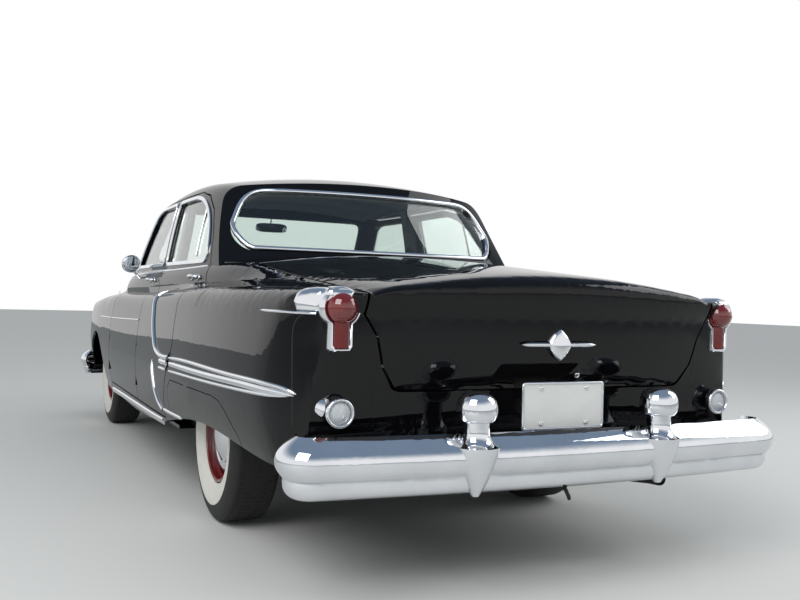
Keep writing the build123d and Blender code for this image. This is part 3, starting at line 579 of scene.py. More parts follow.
class Skin:
    """Outer surface of some objects, on which trim is laid."""

    def __init__(self, *objects: bpy.types.Object) -> None:
        """Gather the faces of the objects.

        Args:
            objects: Objects whose meshes make the surface.
        """
        parts = [([v.co for v in o.data.vertices], [p.vertices for p in o.data.polygons]) for o in objects]
        verts, faces = merged(parts)
        self.tree = BVHTree.FromPolygons(verts, faces)

    def cast(self, origin: Sequence[float], direction: Sequence[float]) -> Optional[tuple[Vector, Vector]]:
        """Send a ray at the surface.

        Args:
            origin: Where the ray starts.
            direction: Where it goes.

        Returns:
            The first place hit and the normal that looks back along the ray, or None.
        """
        place, normal, _, _ = self.tree.ray_cast(Vector(origin), Vector(direction).normalized())
        if place is None:
            return None
        if normal.dot(Vector(direction)) > 0:
            normal = -normal
        return place, normal

    def path(self, points: Iterable[Sequence[float]], lay: Callable[[Vector], tuple[Point, Point]],
             smooth: int = 4, closed: bool = False) -> Path:
        """Lay points on the surface and smooth their normals.

        Args:
            points: Points in the plane that lay() understands.
            lay: Gives the origin and direction of the ray for a point.
            smooth: How many times the normals and the places are evened out.
            closed: Whether the path is a loop.

        Returns:
            Pairs of place and normal.
        """
        hits = [hit for hit in (self.cast(*lay(Vector(p))) for p in points) if hit is not None]
        return self.evened(hits, smooth, closed)

    def near(self, points: Iterable[Sequence[float]], outward: Vector, smooth: int = 4) -> Path:
        """Lay points on the nearest place of the surface.

        Args:
            points: Points beside the surface.
            outward: A direction that the normals follow.
            smooth: How many times the normals and the places are evened out.

        Returns:
            Pairs of place and normal.
        """
        hits = []
        for point in points:
            place, normal, _, _ = self.tree.find_nearest(Vector(point))
            hits.append((place, normal if normal.dot(outward) > 0 else -normal))
        return self.evened(hits, smooth, False)

    @staticmethod
    def evened(hits: Path, rounds: int, closed: bool) -> Path:
        """Smooth the places and normals of a path, keeping its ends.

        Args:
            hits: Pairs of place and normal.
            rounds: How many times they are evened out.
            closed: Whether the path is a loop.

        Returns:
            The smoothed pairs.
        """
        places, normals = [h[0] for h in hits], [h[1] for h in hits]
        count = len(hits)
        for _ in range(rounds):
            new_places, new_normals = [], []
            for k in range(count):
                before = (k - 1) % count if closed else max(k - 1, 0)
                after = (k + 1) % count if closed else min(k + 1, count - 1)
                new_normals.append((normals[before] + 2 * normals[k] + normals[after]).normalized())
                middle = (places[before] + 2 * places[k] + places[after]) / 4
                new_places.append(middle if closed or 0 < k < count - 1 else places[k])
            places, normals = new_places, new_normals
        return list(zip(places, normals))


def from_side(sign: int) -> Callable[[Vector], tuple[Point, Point]]:
    """Rays towards one side of the car for points of (y, z)."""
    return lambda p: ((sign * 1.4, p[0], p[1]), (-sign, 0, 0))


def from_behind(p: Vector) -> tuple[Point, Point]:
    """Ray from behind the car for a point of (x, z)."""
    return (p[0], 3.4, p[1]), (0, -1, 0)


def from_front(p: Vector) -> tuple[Point, Point]:
    """Ray from before the car for a point of (x, z)."""
    return (p[0], -3.4, p[1]), (0, 1, 0)


def from_above(p: Vector) -> tuple[Point, Point]:
    """Ray from above the car for a point of (x, y)."""
    return (p[0], p[1], 2.4), (0, 0, -1)


class Section(Enum):
    """Cross-sections of bright mouldings, as (across, out) shares of half width and height."""

    ROUND = tuple((math.cos(math.pi * k / 10), math.sin(math.pi * k / 10)) for k in range(11))
    PEAKED = ((1, 0), (0.96, 0.45), (0.55, 0.78), (0.12, 0.97), (0, 1), (-0.12, 0.97), (-0.55, 0.78),
              (-0.96, 0.45), (-1, 0))
    FLAT = ((1, 0), (1, 0.55), (0.88, 0.9), (0.5, 1), (0, 1.03), (-0.5, 1), (-0.88, 0.9), (-1, 0.55), (-1, 0))


def strip(path: Path, width: float, height: float,
          section: Section = Section.ROUND, closed: bool = False, taper: tuple[float, float] = (0.0, 0.0),
          sink: float = 0.0015) -> Part:
    """Sweep a moulding along a path on a surface.

    Args:
        path: Pairs of place and normal.
        width: Full width in metres.
        height: How far it stands out.
        section: Its cross-section.
        closed: Whether it is a ring.
        taper: Lengths over which it narrows at its start and end.
        sink: How far its foot goes into the surface.

    Returns:
        Points and faces.
    """
    count = len(path)
    lengths = [0.0]
    for (p, _), (q, _) in zip(path, path[1:]):
        lengths.append(lengths[-1] + (q - p).length)
    rows = []
    for k, (place, normal) in enumerate(path):
        ahead = path[(k + 1) % count][0] if closed or k + 1 < count else place
        behind = path[k - 1][0] if closed or k else place
        along = (ahead - behind).normalized()
        across = along.cross(normal).normalized()
        share = 1.0
        if not closed:
            for reach, gone in ((taper[0], lengths[k]), (taper[1], lengths[-1] - lengths[k])):
                if reach:
                    share = min(share, max(0.06, math.sin(min(1.0, gone / reach) * math.pi / 2) ** 0.8))
        half, tall = width / 2 * share, height * max(share, 0.25)
        row = [place + across * u * half + normal * v * tall for u, v in section.value]
        rows.append(row + [place - across * half - normal * sink, place + across * half - normal * sink])
    return sheet(rows, ring=True, loop=closed, ends=not closed)


def lathe(profile: Outline, centre: Sequence[float], axis: Sequence[float],
          segments: int = 64, closed: bool = False) -> Part:
    """Turn a profile about an axis.

    Args:
        profile: Points of (along the axis, radius).
        centre: A point of the axis.
        axis: Its direction.
        segments: How many steps go round.
        closed: Whether the profile comes back to its first point.

    Returns:
        Points and faces.
    """
    along = Vector(axis).normalized()
    guide = Vector((0, 0, 1)) if abs(along.z) < 0.9 else Vector((1, 0, 0))
    first = guide.cross(along).normalized()
    second = along.cross(first)
    verts, faces, rings = [], [], []
    for distance, radius in profile:
        if radius < 1e-6:
            rings.append([len(verts)] * segments)
            verts.append(Vector(centre) + along * distance)
            continue
        rings.append(list(range(len(verts), len(verts) + segments)))
        verts += [Vector(centre) + along * distance + first * radius * math.cos(angle)
                  + second * radius * math.sin(angle) for angle in round_angles(segments)]
    pairs = list(zip(rings, rings[1:])) + ([(rings[-1], rings[0])] if closed else [])
    for low, high in pairs:
        for k in range(segments):
            m = (k + 1) % segments
            corners = []
            for corner in (low[k], low[m], high[m], high[k]):
                if corner not in corners:
                    corners.append(corner)
            if len(corners) > 2:
                faces.append(tuple(corners))
    return verts, faces


def arced(points: Outline, steps: int = 6) -> Outline:
    """Smooth an open profile.

    Args:
        points: Points of the profile.
        steps: About how many new points take the place of each.

    Returns:
        The new points.
    """
    length = sum(math.dist(p, q) for p, q in zip(points, points[1:]))
    return [(p.x, p.y) for p in resampled(points, length / (steps * len(points)))]


def turned(points: Outline, centre: Sequence[float], axis: Sequence[float], segments: int = 64,
           closed: bool = False) -> Part:
    """Turn a smoothed profile about an axis; the arguments are those of lathe()."""
    return lathe(arced(points), centre, axis, segments, closed)


def tube(points: Sequence[Sequence[float]], radius: float, step: float = 0.01, sides: int = 12) -> Part:
    """Bend a round bar along a smooth path.

    Args:
        points: Points of the path.
        radius: Radius of the bar.
        step: Length of a step along it.
        sides: How many steps go round.

    Returns:
        Points and faces.
    """
    line = resampled(points, step)
    reference = Vector((0.3, 0.2, 0.9)).normalized()
    rows = []
    for k, place in enumerate(line):
        along = (line[min(k + 1, len(line) - 1)] - line[max(k - 1, 0)]).normalized()
        across = along.cross(reference).normalized()
        up = across.cross(along)
        rows.append([place + across * radius * math.cos(angle) + up * radius * math.sin(angle)
                     for angle in round_angles(sides)])
    return sheet(rows, ring=True, ends=True)


def metres(points: Sequence[Sequence[float]]) -> list[tuple[float, ...]]:
    """Turn points in millimetres into metres."""
    return [tuple(v / 1000 for v in point) for point in points]


def grown(corners: Outline, by: float) -> Outline:
    """Move each side of a convex outline outwards.

    Args:
        corners: Corners of the outline.
        by: How far its sides move.

    Returns:
        The new corners.
    """
    middle = sum((Vector(c) for c in corners), Vector((0, 0))) / len(corners)
    lines = []
    for k, corner in enumerate(corners):
        start, end = Vector(corner), Vector(corners[(k + 1) % len(corners)])
        along = (end - start).normalized()
        out = Vector((along.y, -along.x))
        if out.dot((start + end) / 2 - middle) < 0:
            out = -out
        lines.append((start + out * by, along))
    result = []
    for k in range(len(corners)):
        (p, d), (q, e) = lines[k - 1], lines[k]
        share = ((q - p).x * e.y - (q - p).y * e.x) / (d.x * e.y - d.y * e.x)
        result.append(tuple(p + d * share))
    return result


def on_both_sides(name: str, part: Part, finish: Finish, body: str,
                  sharp_degrees: float = 35.0) -> list[bpy.types.Object]:
    """Make a left piece and its mirror image on the right.

    Args:
        name: Name of the piece without its side.
        part: Points and faces of the left piece.
        finish: Its material.
        body: The body, with a star where the side's name goes.
        sharp_degrees: Edges sharper than this stay sharp.

    Returns:
        The left and the right piece.
    """
    return [fresh_object(f"{name}_{side}", *(part if sign > 0 else flipped(part)), finish,
                         body.replace("*", side), sharp_degrees) for sign, side in SIDES]


@dataclass
class WindowTrim:
    """Bright surrounds of all the windows, with the division bar of the rear doors."""

    skins: dict[str, Skin]
    front: tuple = ((-965, 1128), (-115, 1128), (-115, 1448), (-580, 1448), (-672, 1426))
    rear: tuple = ((-12, 1128), (790, 1128), (745, 1240), (655, 1345), (530, 1415), (390, 1448), (-12, 1448))
    screen: tuple = ((-705, 1150), (705, 1150), (640, 1478), (-640, 1478))
    back: tuple = ((-752, 1168), (752, 1168), (612, 1470), (-612, 1470))
    side_width: float = 0.021
    side_height: float = 0.008
    end_width: float = 0.023
    end_height: float = 0.010
    end_overlap: float = 0.008
    division_y: float = 0.575
    division_lean: float = 0.02
    division_z: tuple[float, float] = (1.122, 1.414)
    division_size: tuple[float, float] = (0.022, 0.006)
    division_lift: float = 0.004
    glass_depth: float = 0.012

    def side_ring(self, outline: tuple, radii: Sequence[float], node: str) -> Part:
        """Sweep the surround of one side window.

        Args:
            outline: Corners of the opening as (y, z), in millimetres.
            radii: A radius for each corner.
            node: The panel that carries it.

        Returns:
            Points and faces.
        """
        rounded = rounded_outline(grown(metres(outline), self.side_width / 2), radii)
        line = resampled(rounded, 0.012, closed=True)
        return strip(self.skins[node].path(line, from_side(1), 3, True), self.side_width, self.side_height,
                     Section.FLAT, closed=True)

    def end_ring(self, outline: tuple, corner: float, node: str, lay: Callable) -> Part:
        """Sweep the surround of the windscreen or the back window, over the edge of its glass.

        Args:
            outline: Corners of the opening as (x, z), in millimetres.
            corner: Radius of the corners.
            node: The glass.
            lay: Gives the ray that finds the glass.

        Returns:
            Points and faces.
        """
        rounded = rounded_outline(grown(metres(outline), -self.end_overlap), (corner,) * len(outline))
        line = resampled(rounded, 0.015, closed=True)
        path = [(place + normal * self.glass_depth, normal)
                for place, normal in self.skins[node].path(line, lay, 3, True)]
        return strip(path, self.end_width, self.end_height, Section.ROUND, closed=True, sink=0.012)

    def build(self) -> None:
        """Make every surround."""
        on_both_sides("front_window_surround", self.side_ring(
            self.front, (0.03, 0.02, 0.02, 0.06, 0.05), "front_door_left"), CHROME, "front_door_*")
        on_both_sides("rear_window_surround", self.side_ring(
            self.rear, (0.02, 0.05, 0.1, 0.1, 0.1, 0.1, 0.02), "rear_door_left"), CHROME, "rear_door_*")
        fresh_object("windscreen_surround", *self.end_ring(self.screen, 0.05, "windscreen", from_front),
                     CHROME, "root")
        fresh_object("back_window_surround", *self.end_ring(self.back, 0.1, "back_window", from_behind),
                     CHROME, "root")
        line = [Vector(p) for p in zip(spread(self.division_y, self.division_y - self.division_lean, 12),
                                       spread(*self.division_z, 12))]
        path = [(place + normal * self.division_lift, normal)
                for place, normal in self.skins["rear_door_glass_left"].path(line, from_side(1), 2)]
        on_both_sides("window_division_bar", strip(path, *self.division_size, Section.FLAT, sink=0.006),
                      CHROME, "rear_door_*")


@dataclass(frozen=True)
class Moulding:
    """One bright strip on the left side: where it runs, how wide it is and what carries it."""

    name: str
    node: str
    body: str
    points: tuple
    width: float
    height: float
    section: Section = Section.ROUND
    taper: tuple[float, float] = (0.0, 0.0)


@dataclass
class BodyMouldings:
    """The mouldings along both sides, laid on the panels that carry them."""

    skins: dict[str, Skin]
    rows: tuple = (
        Moulding("belt_moulding_front", "front_door_left", "front_door_*",
                 ((833, -1010, 1064), (831, -763, 1068), (829, -400, 1074), (825, -72, 1080)), 0.013, 0.006),
        Moulding("belt_moulding_rear", "rear_door_left", "rear_door_*",
                 ((825, -56, 1080), (822, 300, 1084), (808, 650, 1088), (790, 855, 1092)), 0.013, 0.006),
        Moulding("vertical_strip", "rear_door_left", "rear_door_*",
                 ((872, 338, 968), (892, 326, 962), (917, 314, 943), (938, 345, 901), (953, 398, 819),
                  (964, 480, 735), (968, 540, 693), (970, 620, 670), (971, 720, 662), (972, 948, 667)),
                 0.021, 0.011, Section.ROUND, (0.05, 0.0)),
        Moulding("spear_top", "rear_fender_left", "root",
                 ((973, 957, 667), (976, 1229, 676), (970, 1911, 679), (950, 2279, 680), (915, 2390, 672),
                  (885, 2432, 656)), 0.016, 0.010, Section.ROUND, (0.0, 0.03)),
        Moulding("spear_middle_door", "rear_door_left", "rear_door_*",
                 ((972, 660, 638), (974, 807, 638), (975, 948, 641)), 0.024, 0.009, Section.ROUND,
                 (0.06, 0.0)),
        Moulding("spear_middle", "rear_fender_left", "root",
                 ((976, 957, 641), (978, 1583, 650), (958, 2174, 660), (915, 2390, 655), (890, 2425, 650)),
                 0.024, 0.009, Section.ROUND, (0.0, 0.10)),
        Moulding("spear_low_door", "rear_door_left", "rear_door_*",
                 ((972, 660, 606), (975, 820, 607), (976, 948, 609)), 0.013, 0.008, Section.ROUND,
                 (0.06, 0.0)),
        Moulding("spear_low", "rear_fender_left", "root",
                 ((977, 957, 609), (979, 1590, 624), (966, 2056, 637), (945, 2344, 645), (905, 2405, 646)),
                 0.013, 0.008, Section.ROUND, (0.0, 0.10)),
        Moulding("lower_strip", "rear_door_left", "rear_door_*",
                 ((971, 481, 628), (971, 488, 600), (969, 505, 555), (962, 545, 485), (955, 605, 432),
                  (951, 690, 402)), 0.021, 0.009, Section.ROUND, (0.05, 0.0)),
        Moulding("front_strip_door", "front_door_left", "front_door_*",
                 ((946, -1128, 787), (946, -600, 796), (946, -74, 807)), 0.010, 0.006),
        Moulding("front_strip_fender", "front_fender_left", "root",
                 ((900, -2340, 772), (930, -1880, 778), (944, -1152, 786)), 0.010, 0.006, Section.ROUND,
                 (0.12, 0.0)),
        Moulding("lamp_bar", "rear_fender_left", "root",
                 ((932, 2200, 912), (925, 2320, 912), (880, 2430, 911), (838, 2478, 910)), 0.011, 0.009,
                 Section.ROUND, (0.05, 0.0)),
    )
    rocker: tuple = ((-1120, 318), (-691, 324), (-268, 328), (181, 332), (581, 338), (690, 341))
    lip: tuple = ((712, 409), (800, 408), (896, 409), (1122, 412), (1358, 418), (1571, 428), (1755, 436),
                  (1838, 433), (1930, 426), (2009, 418), (2089, 414), (2188, 416), (2290, 420))

    def laid(self, row: Moulding) -> Part:
        """Sweep one strip along the nearest surface of its panel.

        Args:
            row: The strip.

        Returns:
            Points and faces.
        """
        line = resampled(metres(row.points), 0.010)
        return strip(self.skins[row.node].near(line, Vector((1, 0, 0.1))), row.width, row.height, row.section,
                     taper=row.taper)

    def build(self) -> None:
        """Make all the strips."""
        for row in self.rows:
            on_both_sides(row.name, self.laid(row), CHROME, row.body)
        for name, node, points, width, height, taper in (
                ("rocker_moulding", "body_shell", self.rocker, 0.034, 0.010, (0.0, 0.0)),
                ("wheel_lip", "rear_fender_left", self.lip, 0.018, 0.008, (0.0, 0.05))):
            path = self.skins[node].path(resampled(metres(points), 0.012), from_side(1), 4)
            on_both_sides(name, strip(path, width, height, taper=taper), CHROME, "root")


@dataclass
class TailLamps:
    """Red lamp in its bright keyhole frame and cap, and the round lamp below it."""

    skins: dict[str, Skin]
    x: float = 0.767
    y: float = 2.505
    z: float = 0.930
    bulb: float = 0.052
    tail_half: float = 0.026
    tail_low: float = 0.806
    cap_low: float = 2.0
    cap_high: float = 128.0
    cap_top_y: float = 2.385
    cap_side_y: float = 2.425
    cap_turn_y: float = 2.465
    cap_tilt: float = 84.0
    cap_lift: float = 0.0065
    crown_x: float = 0.785
    crown_z: float = 0.915
    frame: float = 0.013
    low_centre: Point = (0.766, 2.500, 0.605)
    low_shell: tuple = ((-0.074, 0.004, 0.070), (-0.068, 0.016, 0.064), (-0.052, 0.028, 0.046),
                        (-0.032, 0.037, 0.024), (-0.012, 0.042, 0.006), (0.008, 0.044, 0.0))
    low_slope: float = 0.38

    def lens(self) -> Part:
        """Turn the round red glass and add the narrow lens under it.

        Returns:
            Points and faces.
        """
        profile = [(-0.03, self.bulb * 0.9)]
        profile += [(self.bulb * 1.06 * math.sin(a), self.bulb * math.cos(a))
                    for a in (math.pi / 2 * k / 14 for k in range(14))]
        profile.append((self.bulb * 1.06, 0.0))
        centre = (self.x, self.y, self.z)
        round_glass = lathe(profile, centre, (0, 1, 0.06), 56)
        verts, faces = sheet([[(self.x - self.tail_half * math.cos(angle),
                                self.y + 0.008 + 0.012 * math.sin(angle), z)
                               for angle in spread(0.0, math.pi, 8)]
                              for z in spread(self.tail_low, self.z - 0.02, 10)])
        faces.append(tuple(range(9)))
        return merged([round_glass, (verts, faces)])

    def keyhole(self, grow: float) -> list[Vector]:
        """Outline the frame in (x, z), round above and square below.

        Args:
            grow: How far the outline lies outside the glass.

        Returns:
            Points of the outline.
        """
        radius, half, low = self.bulb + grow, self.tail_half + grow, self.tail_low - grow
        start = math.asin(min(0.95, half / radius))
        outline = []
        for angle in spread(start - math.pi / 2, 1.5 * math.pi - start, 36):
            outline.append(Vector((self.x + radius * math.cos(angle), self.z + radius * math.sin(angle), 0)))
        for x, z in ((self.x - half, low + 0.012), (self.x - half + 0.008, low), (self.x + half - 0.008, low),
                     (self.x + half, low + 0.012)):
            outline.append(Vector((x, z, 0)))
        return outline

    def bezel(self) -> Part:
        """Build the rolled frame between an inner and an outer keyhole.

        Returns:
            Points and faces.
        """
        rings = []
        for grow, y in ((0.0, -0.03), (0.0, 0.006), (0.004, 0.013), (self.frame * 0.6, 0.014),
                        (self.frame, 0.006), (self.frame + 0.003, -0.06)):
            rings.append([Vector((p.x, self.y + y, p.y)) for p in self.keyhole(grow)])
        return sheet(rings, ring=True)

    def cap(self) -> Part:
        """Wrap the bright cap over the end of the fender, by rays towards the crown's axis.

        Returns:
            Points and faces.
        """
        skin = self.skins["rear_fender_left"]
        grid = []
        for share in spread(0.0, 1.0, 22):
            row = []
            for across in spread(0.0, 1.0, 32):
                angle = math.radians(self.cap_low + (self.cap_high - self.cap_low) * across)
                front = self.cap_side_y - (self.cap_side_y - self.cap_top_y) * math.sin(angle)
                along = front + (self.cap_turn_y - front) * min(1.0, share / 0.5)
                tilt = math.radians(self.cap_tilt) * max(0.0, (share - 0.5) / 0.5)
                radial = Vector((math.cos(angle), 0, math.sin(angle))) * math.cos(tilt)
                radial += Vector((0, math.sin(tilt), 0))
                target = Vector((self.crown_x, along, self.crown_z))
                hit = skin.cast(target + radial * 0.4, -radial)
                edge = min(share, across * 1.5, (1 - across) * 1.5)
                lift = self.cap_lift * min(1.0, 0.3 + 6 * edge)
                row.append(target + radial * ((hit[0] - target).length + lift) if hit else None)
            grid.append(row)
        return sheet(grid)

    def low_lamp(self) -> tuple[list[Part], Part]:
        """Make the round lamp below, whose housing leans into the fender like a drop.

        Returns:
            The housing with its bezel and bowl, and the glass.
        """
        x, y, z = self.low_centre
        rows = [[(x + p.z + p.y * math.cos(angle), y + p.x, z + p.z * self.low_slope + p.y * math.sin(angle))
                 for angle in round_angles(48)] for p in resampled(self.low_shell, 0.008)]
        verts, faces = sheet(rows, ring=True)
        faces.append(tuple(range(48)))
        ring = arced([(0.0, 0.036), (0.012, 0.0365), (0.020, 0.040), (0.019, 0.045), (0.008, 0.048),
                      (0.0, 0.046)])
        bowl = arced([(0.010, 0.0355), (-0.004, 0.030), (-0.014, 0.018), (-0.018, 0.0)])
        glass = arced([(0.0, 0.036), (0.006, 0.029), (0.010, 0.015), (0.0115, 0.0)])
        housing = [(verts, faces), lathe(ring, (x, y + 0.004, z), (0, 1, 0), 56, closed=True),
                   lathe(bowl, (x, y + 0.004, z), (0, 1, 0), 48)]
        return housing, lathe(glass, (x, y + 0.012, z), (0, 1, 0), 48)

    def build(self) -> None:
        """Make both lamps on each side."""
        pieces = on_both_sides("red_lamp_glass", self.lens(), RED_LENS, "root", 50)
        on_both_sides("lamp_keyhole_frame", self.bezel(), CHROME, "root", 50)
        for piece in on_both_sides("fender_end_cap", self.cap(), CHROME, "root", 60):
            thicken(piece, 0.003)
        housing, glass = self.low_lamp()
        pieces += on_both_sides("low_lamp_housing", merged(housing), CHROME, "root", 50)
        pieces += on_both_sides("low_lamp_glass", glass, CLEAR_LENS, "root")
        for piece in pieces:
            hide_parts("tail_lamps")


def thicken(piece: bpy.types.Object, depth: float) -> None:
    """Give an open sheet a wall towards its inside.

    Args:
        piece: The sheet.
        depth: Thickness in metres.
    """
    solid = piece.modifiers.new("wall", "SOLIDIFY")
    solid.thickness = depth
    solid.offset = -1.0
    apply_modifiers(piece)


def apply_modifiers(piece: bpy.types.Object) -> None:
    """Turn a piece with its modifiers into a plain mesh.

    Args:
        piece: The piece, which keeps its name and gets the new mesh.
    """
    graph = bpy.context.evaluated_depsgraph_get()
    mesh = bpy.data.meshes.new_from_object(piece.evaluated_get(graph))
    piece.modifiers.clear()
    old = piece.data
    piece.data = mesh
    bpy.data.meshes.remove(old)


@dataclass
class TrunkTrim:
    """Plain bright bar handle with its lozenge-shaped lock cover, on the trunk lid."""

    skins: dict[str, Skin]
    z: float = 0.823
    half: float = 0.150
    feet: tuple[float, float] = (-0.105, 0.105)
    lozenge: tuple[float, float] = (0.046, 0.054)
    lozenge_bow: float = 1.35

    def build(self) -> None:
        """Make the bar, its two feet and the lock cover."""
        skin = self.skins["trunk_lid"]
        line = [Vector((x, self.z)) for x in spread(-self.half, self.half, 40)]
        path = [(place + normal * 0.010, normal) for place, normal in skin.path(line, from_behind, 4)]
        parts = [strip(path, 0.017, 0.011, Section.ROUND, taper=(0.03, 0.03), sink=0.002)]
        for x in self.feet:
            place, normal = skin.cast(*from_behind(Vector((x, self.z))))
            parts.append(lathe([(-0.002, 0.010), (0.012, 0.0075)], place, normal, 20))
        fresh_object("trunk_handle_bar", *merged(parts), CHROME, "trunk_lid", 50)
        place, normal = skin.cast(*from_behind(Vector((0.0, self.z))))
        profile = arced([(-0.002, 1.0), (0.010, 1.0), (0.018, 0.93), (0.024, 0.7), (0.027, 0.35),
                         (0.028, 0.0)])
        bow, (wide, tall) = self.lozenge_bow, self.lozenge
        rings = []
        for out, share in profile:
            ring = []
            for angle in round_angles(64):
                reach = 1 / (abs(math.cos(angle)) ** bow + abs(math.sin(angle)) ** bow) ** (1 / bow)
                ring.append(place + Vector((wide * reach * math.cos(angle) * share, 0,
                                            tall * reach * math.sin(angle) * share)) + normal * out)
            rings.append(ring)
        fresh_object("trunk_lock_cover", *sheet(rings, ring=True), CHROME, "trunk_lid", 50)


@dataclass
class Wheels:
    """Whitewall tyres on maroon rims with domed bright hubcaps, as profiles of (along the axle, radius)."""

    radius: float = 0.364
    band: tuple = ((0.205, 0.079), (0.214, 0.0875), (0.240, 0.0975), (0.270, 0.1035), (0.285, 0.1045),
                   (0.292, 0.1043))
    outer: tuple = ((0.292, 0.1035), (0.318, 0.1015), (0.340, 0.0935), (0.352, 0.0860))
    tread: tuple = ((0.352, 0.0860), (0.3578, 0.0790), (0.3606, 0.0600), (0.3620, 0.0300), (0.3624, 0.0))
    bead: tuple = ((-0.070, 0.2003), (0.070, 0.2003))
    band_lift: float = 0.0012
    band_depth: float = 0.003
    rim: tuple = ((0.0795, 0.2010), (0.0830, 0.1985), (0.0800, 0.1930), (0.0600, 0.1900), (0.0450, 0.1800))
    rim_wall: tuple[float, float] = (0.002, 0.001)
    hubcap: tuple = ((0.0180, 0.1700), (0.0400, 0.1640), (0.0560, 0.1500), (0.0600, 0.1300), (0.0570, 0.1150),
                     (0.0620, 0.1000), (0.0760, 0.0700), (0.0850, 0.0350), (0.0870, 0.0))

    def tyre_profile(self, outside: float) -> Outline:
        """Draw the profile of the rubber without its bead.

        Args:
            outside: The side of the car, 1 or -1.

        Returns:
            Points of (along the axle, radius), the outside first.
        """
        half = list(self.band) + list(self.outer[1:]) + list(self.tread[1:])
        left = [(outside * w, r) for r, w in half]
        right = [(-outside * w, r) for r, w in half[:-1]][::-1]
        return arced(left + right, 4)

    def build(self) -> None:
        """Dress the four wheels."""
        for end in ("front", "rear"):
            for sign, side in SIDES:
                body = f"{end}_wheel_{side}"
                low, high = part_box(f"{end}_tyre_{side}")
                centre = Vector(((low[0] + high[0]) / 2, (low[1] + high[1]) / 2, self.radius))
                self.one(body, f"{end}_tyre_{side}", centre, sign)

    def one(self, body: str, tyre: str, centre: Vector, sign: int) -> None:
        """Build the rubber, its white band, the tread blocks, the rim's face and the hubcap.

        Args:
            body: The wheel that carries them.
            tyre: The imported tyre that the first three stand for.
            centre: The wheel's centre.
            sign: The side of the car, 1 or -1.
        """
        axis = (1, 0, 0)
        profile = self.tyre_profile(sign) + [(sign * along, radius) for along, radius in self.bead]
        around = (centre, axis, 96, True)
        rubber = fresh_object(f"{body}_rubber", *lathe(profile, *around), RUBBER, body)
        band = arced([(sign * (w + self.band_lift), r) for r, w in self.band], 5)
        band += [(x - sign * self.band_depth, r) for x, r in reversed(band)]
        white = fresh_object(f"{body}_whitewall", *lathe(band, *around), WHITEWALL, body)
        tread = TreadBlocks().build(f"{body}_tread", centre, body)
        for piece in (rubber, white, tread):
            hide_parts(tyre)
        inward, thinner = self.rim_wall
        lip = arced([(sign * along, radius) for along, radius in self.rim], 5)
        lip += [(x - sign * inward, r - thinner) for x, r in reversed(lip)]
        fresh_object(f"{body}_rim_face", *lathe(lip, centre, axis, 80, closed=True), MAROON, body)
        dome = arced([(sign * along, radius) for along, radius in self.hubcap], 6)
        fresh_object(f"{body}_hubcap", *lathe(dome, centre, axis, 80), CHROME, body)


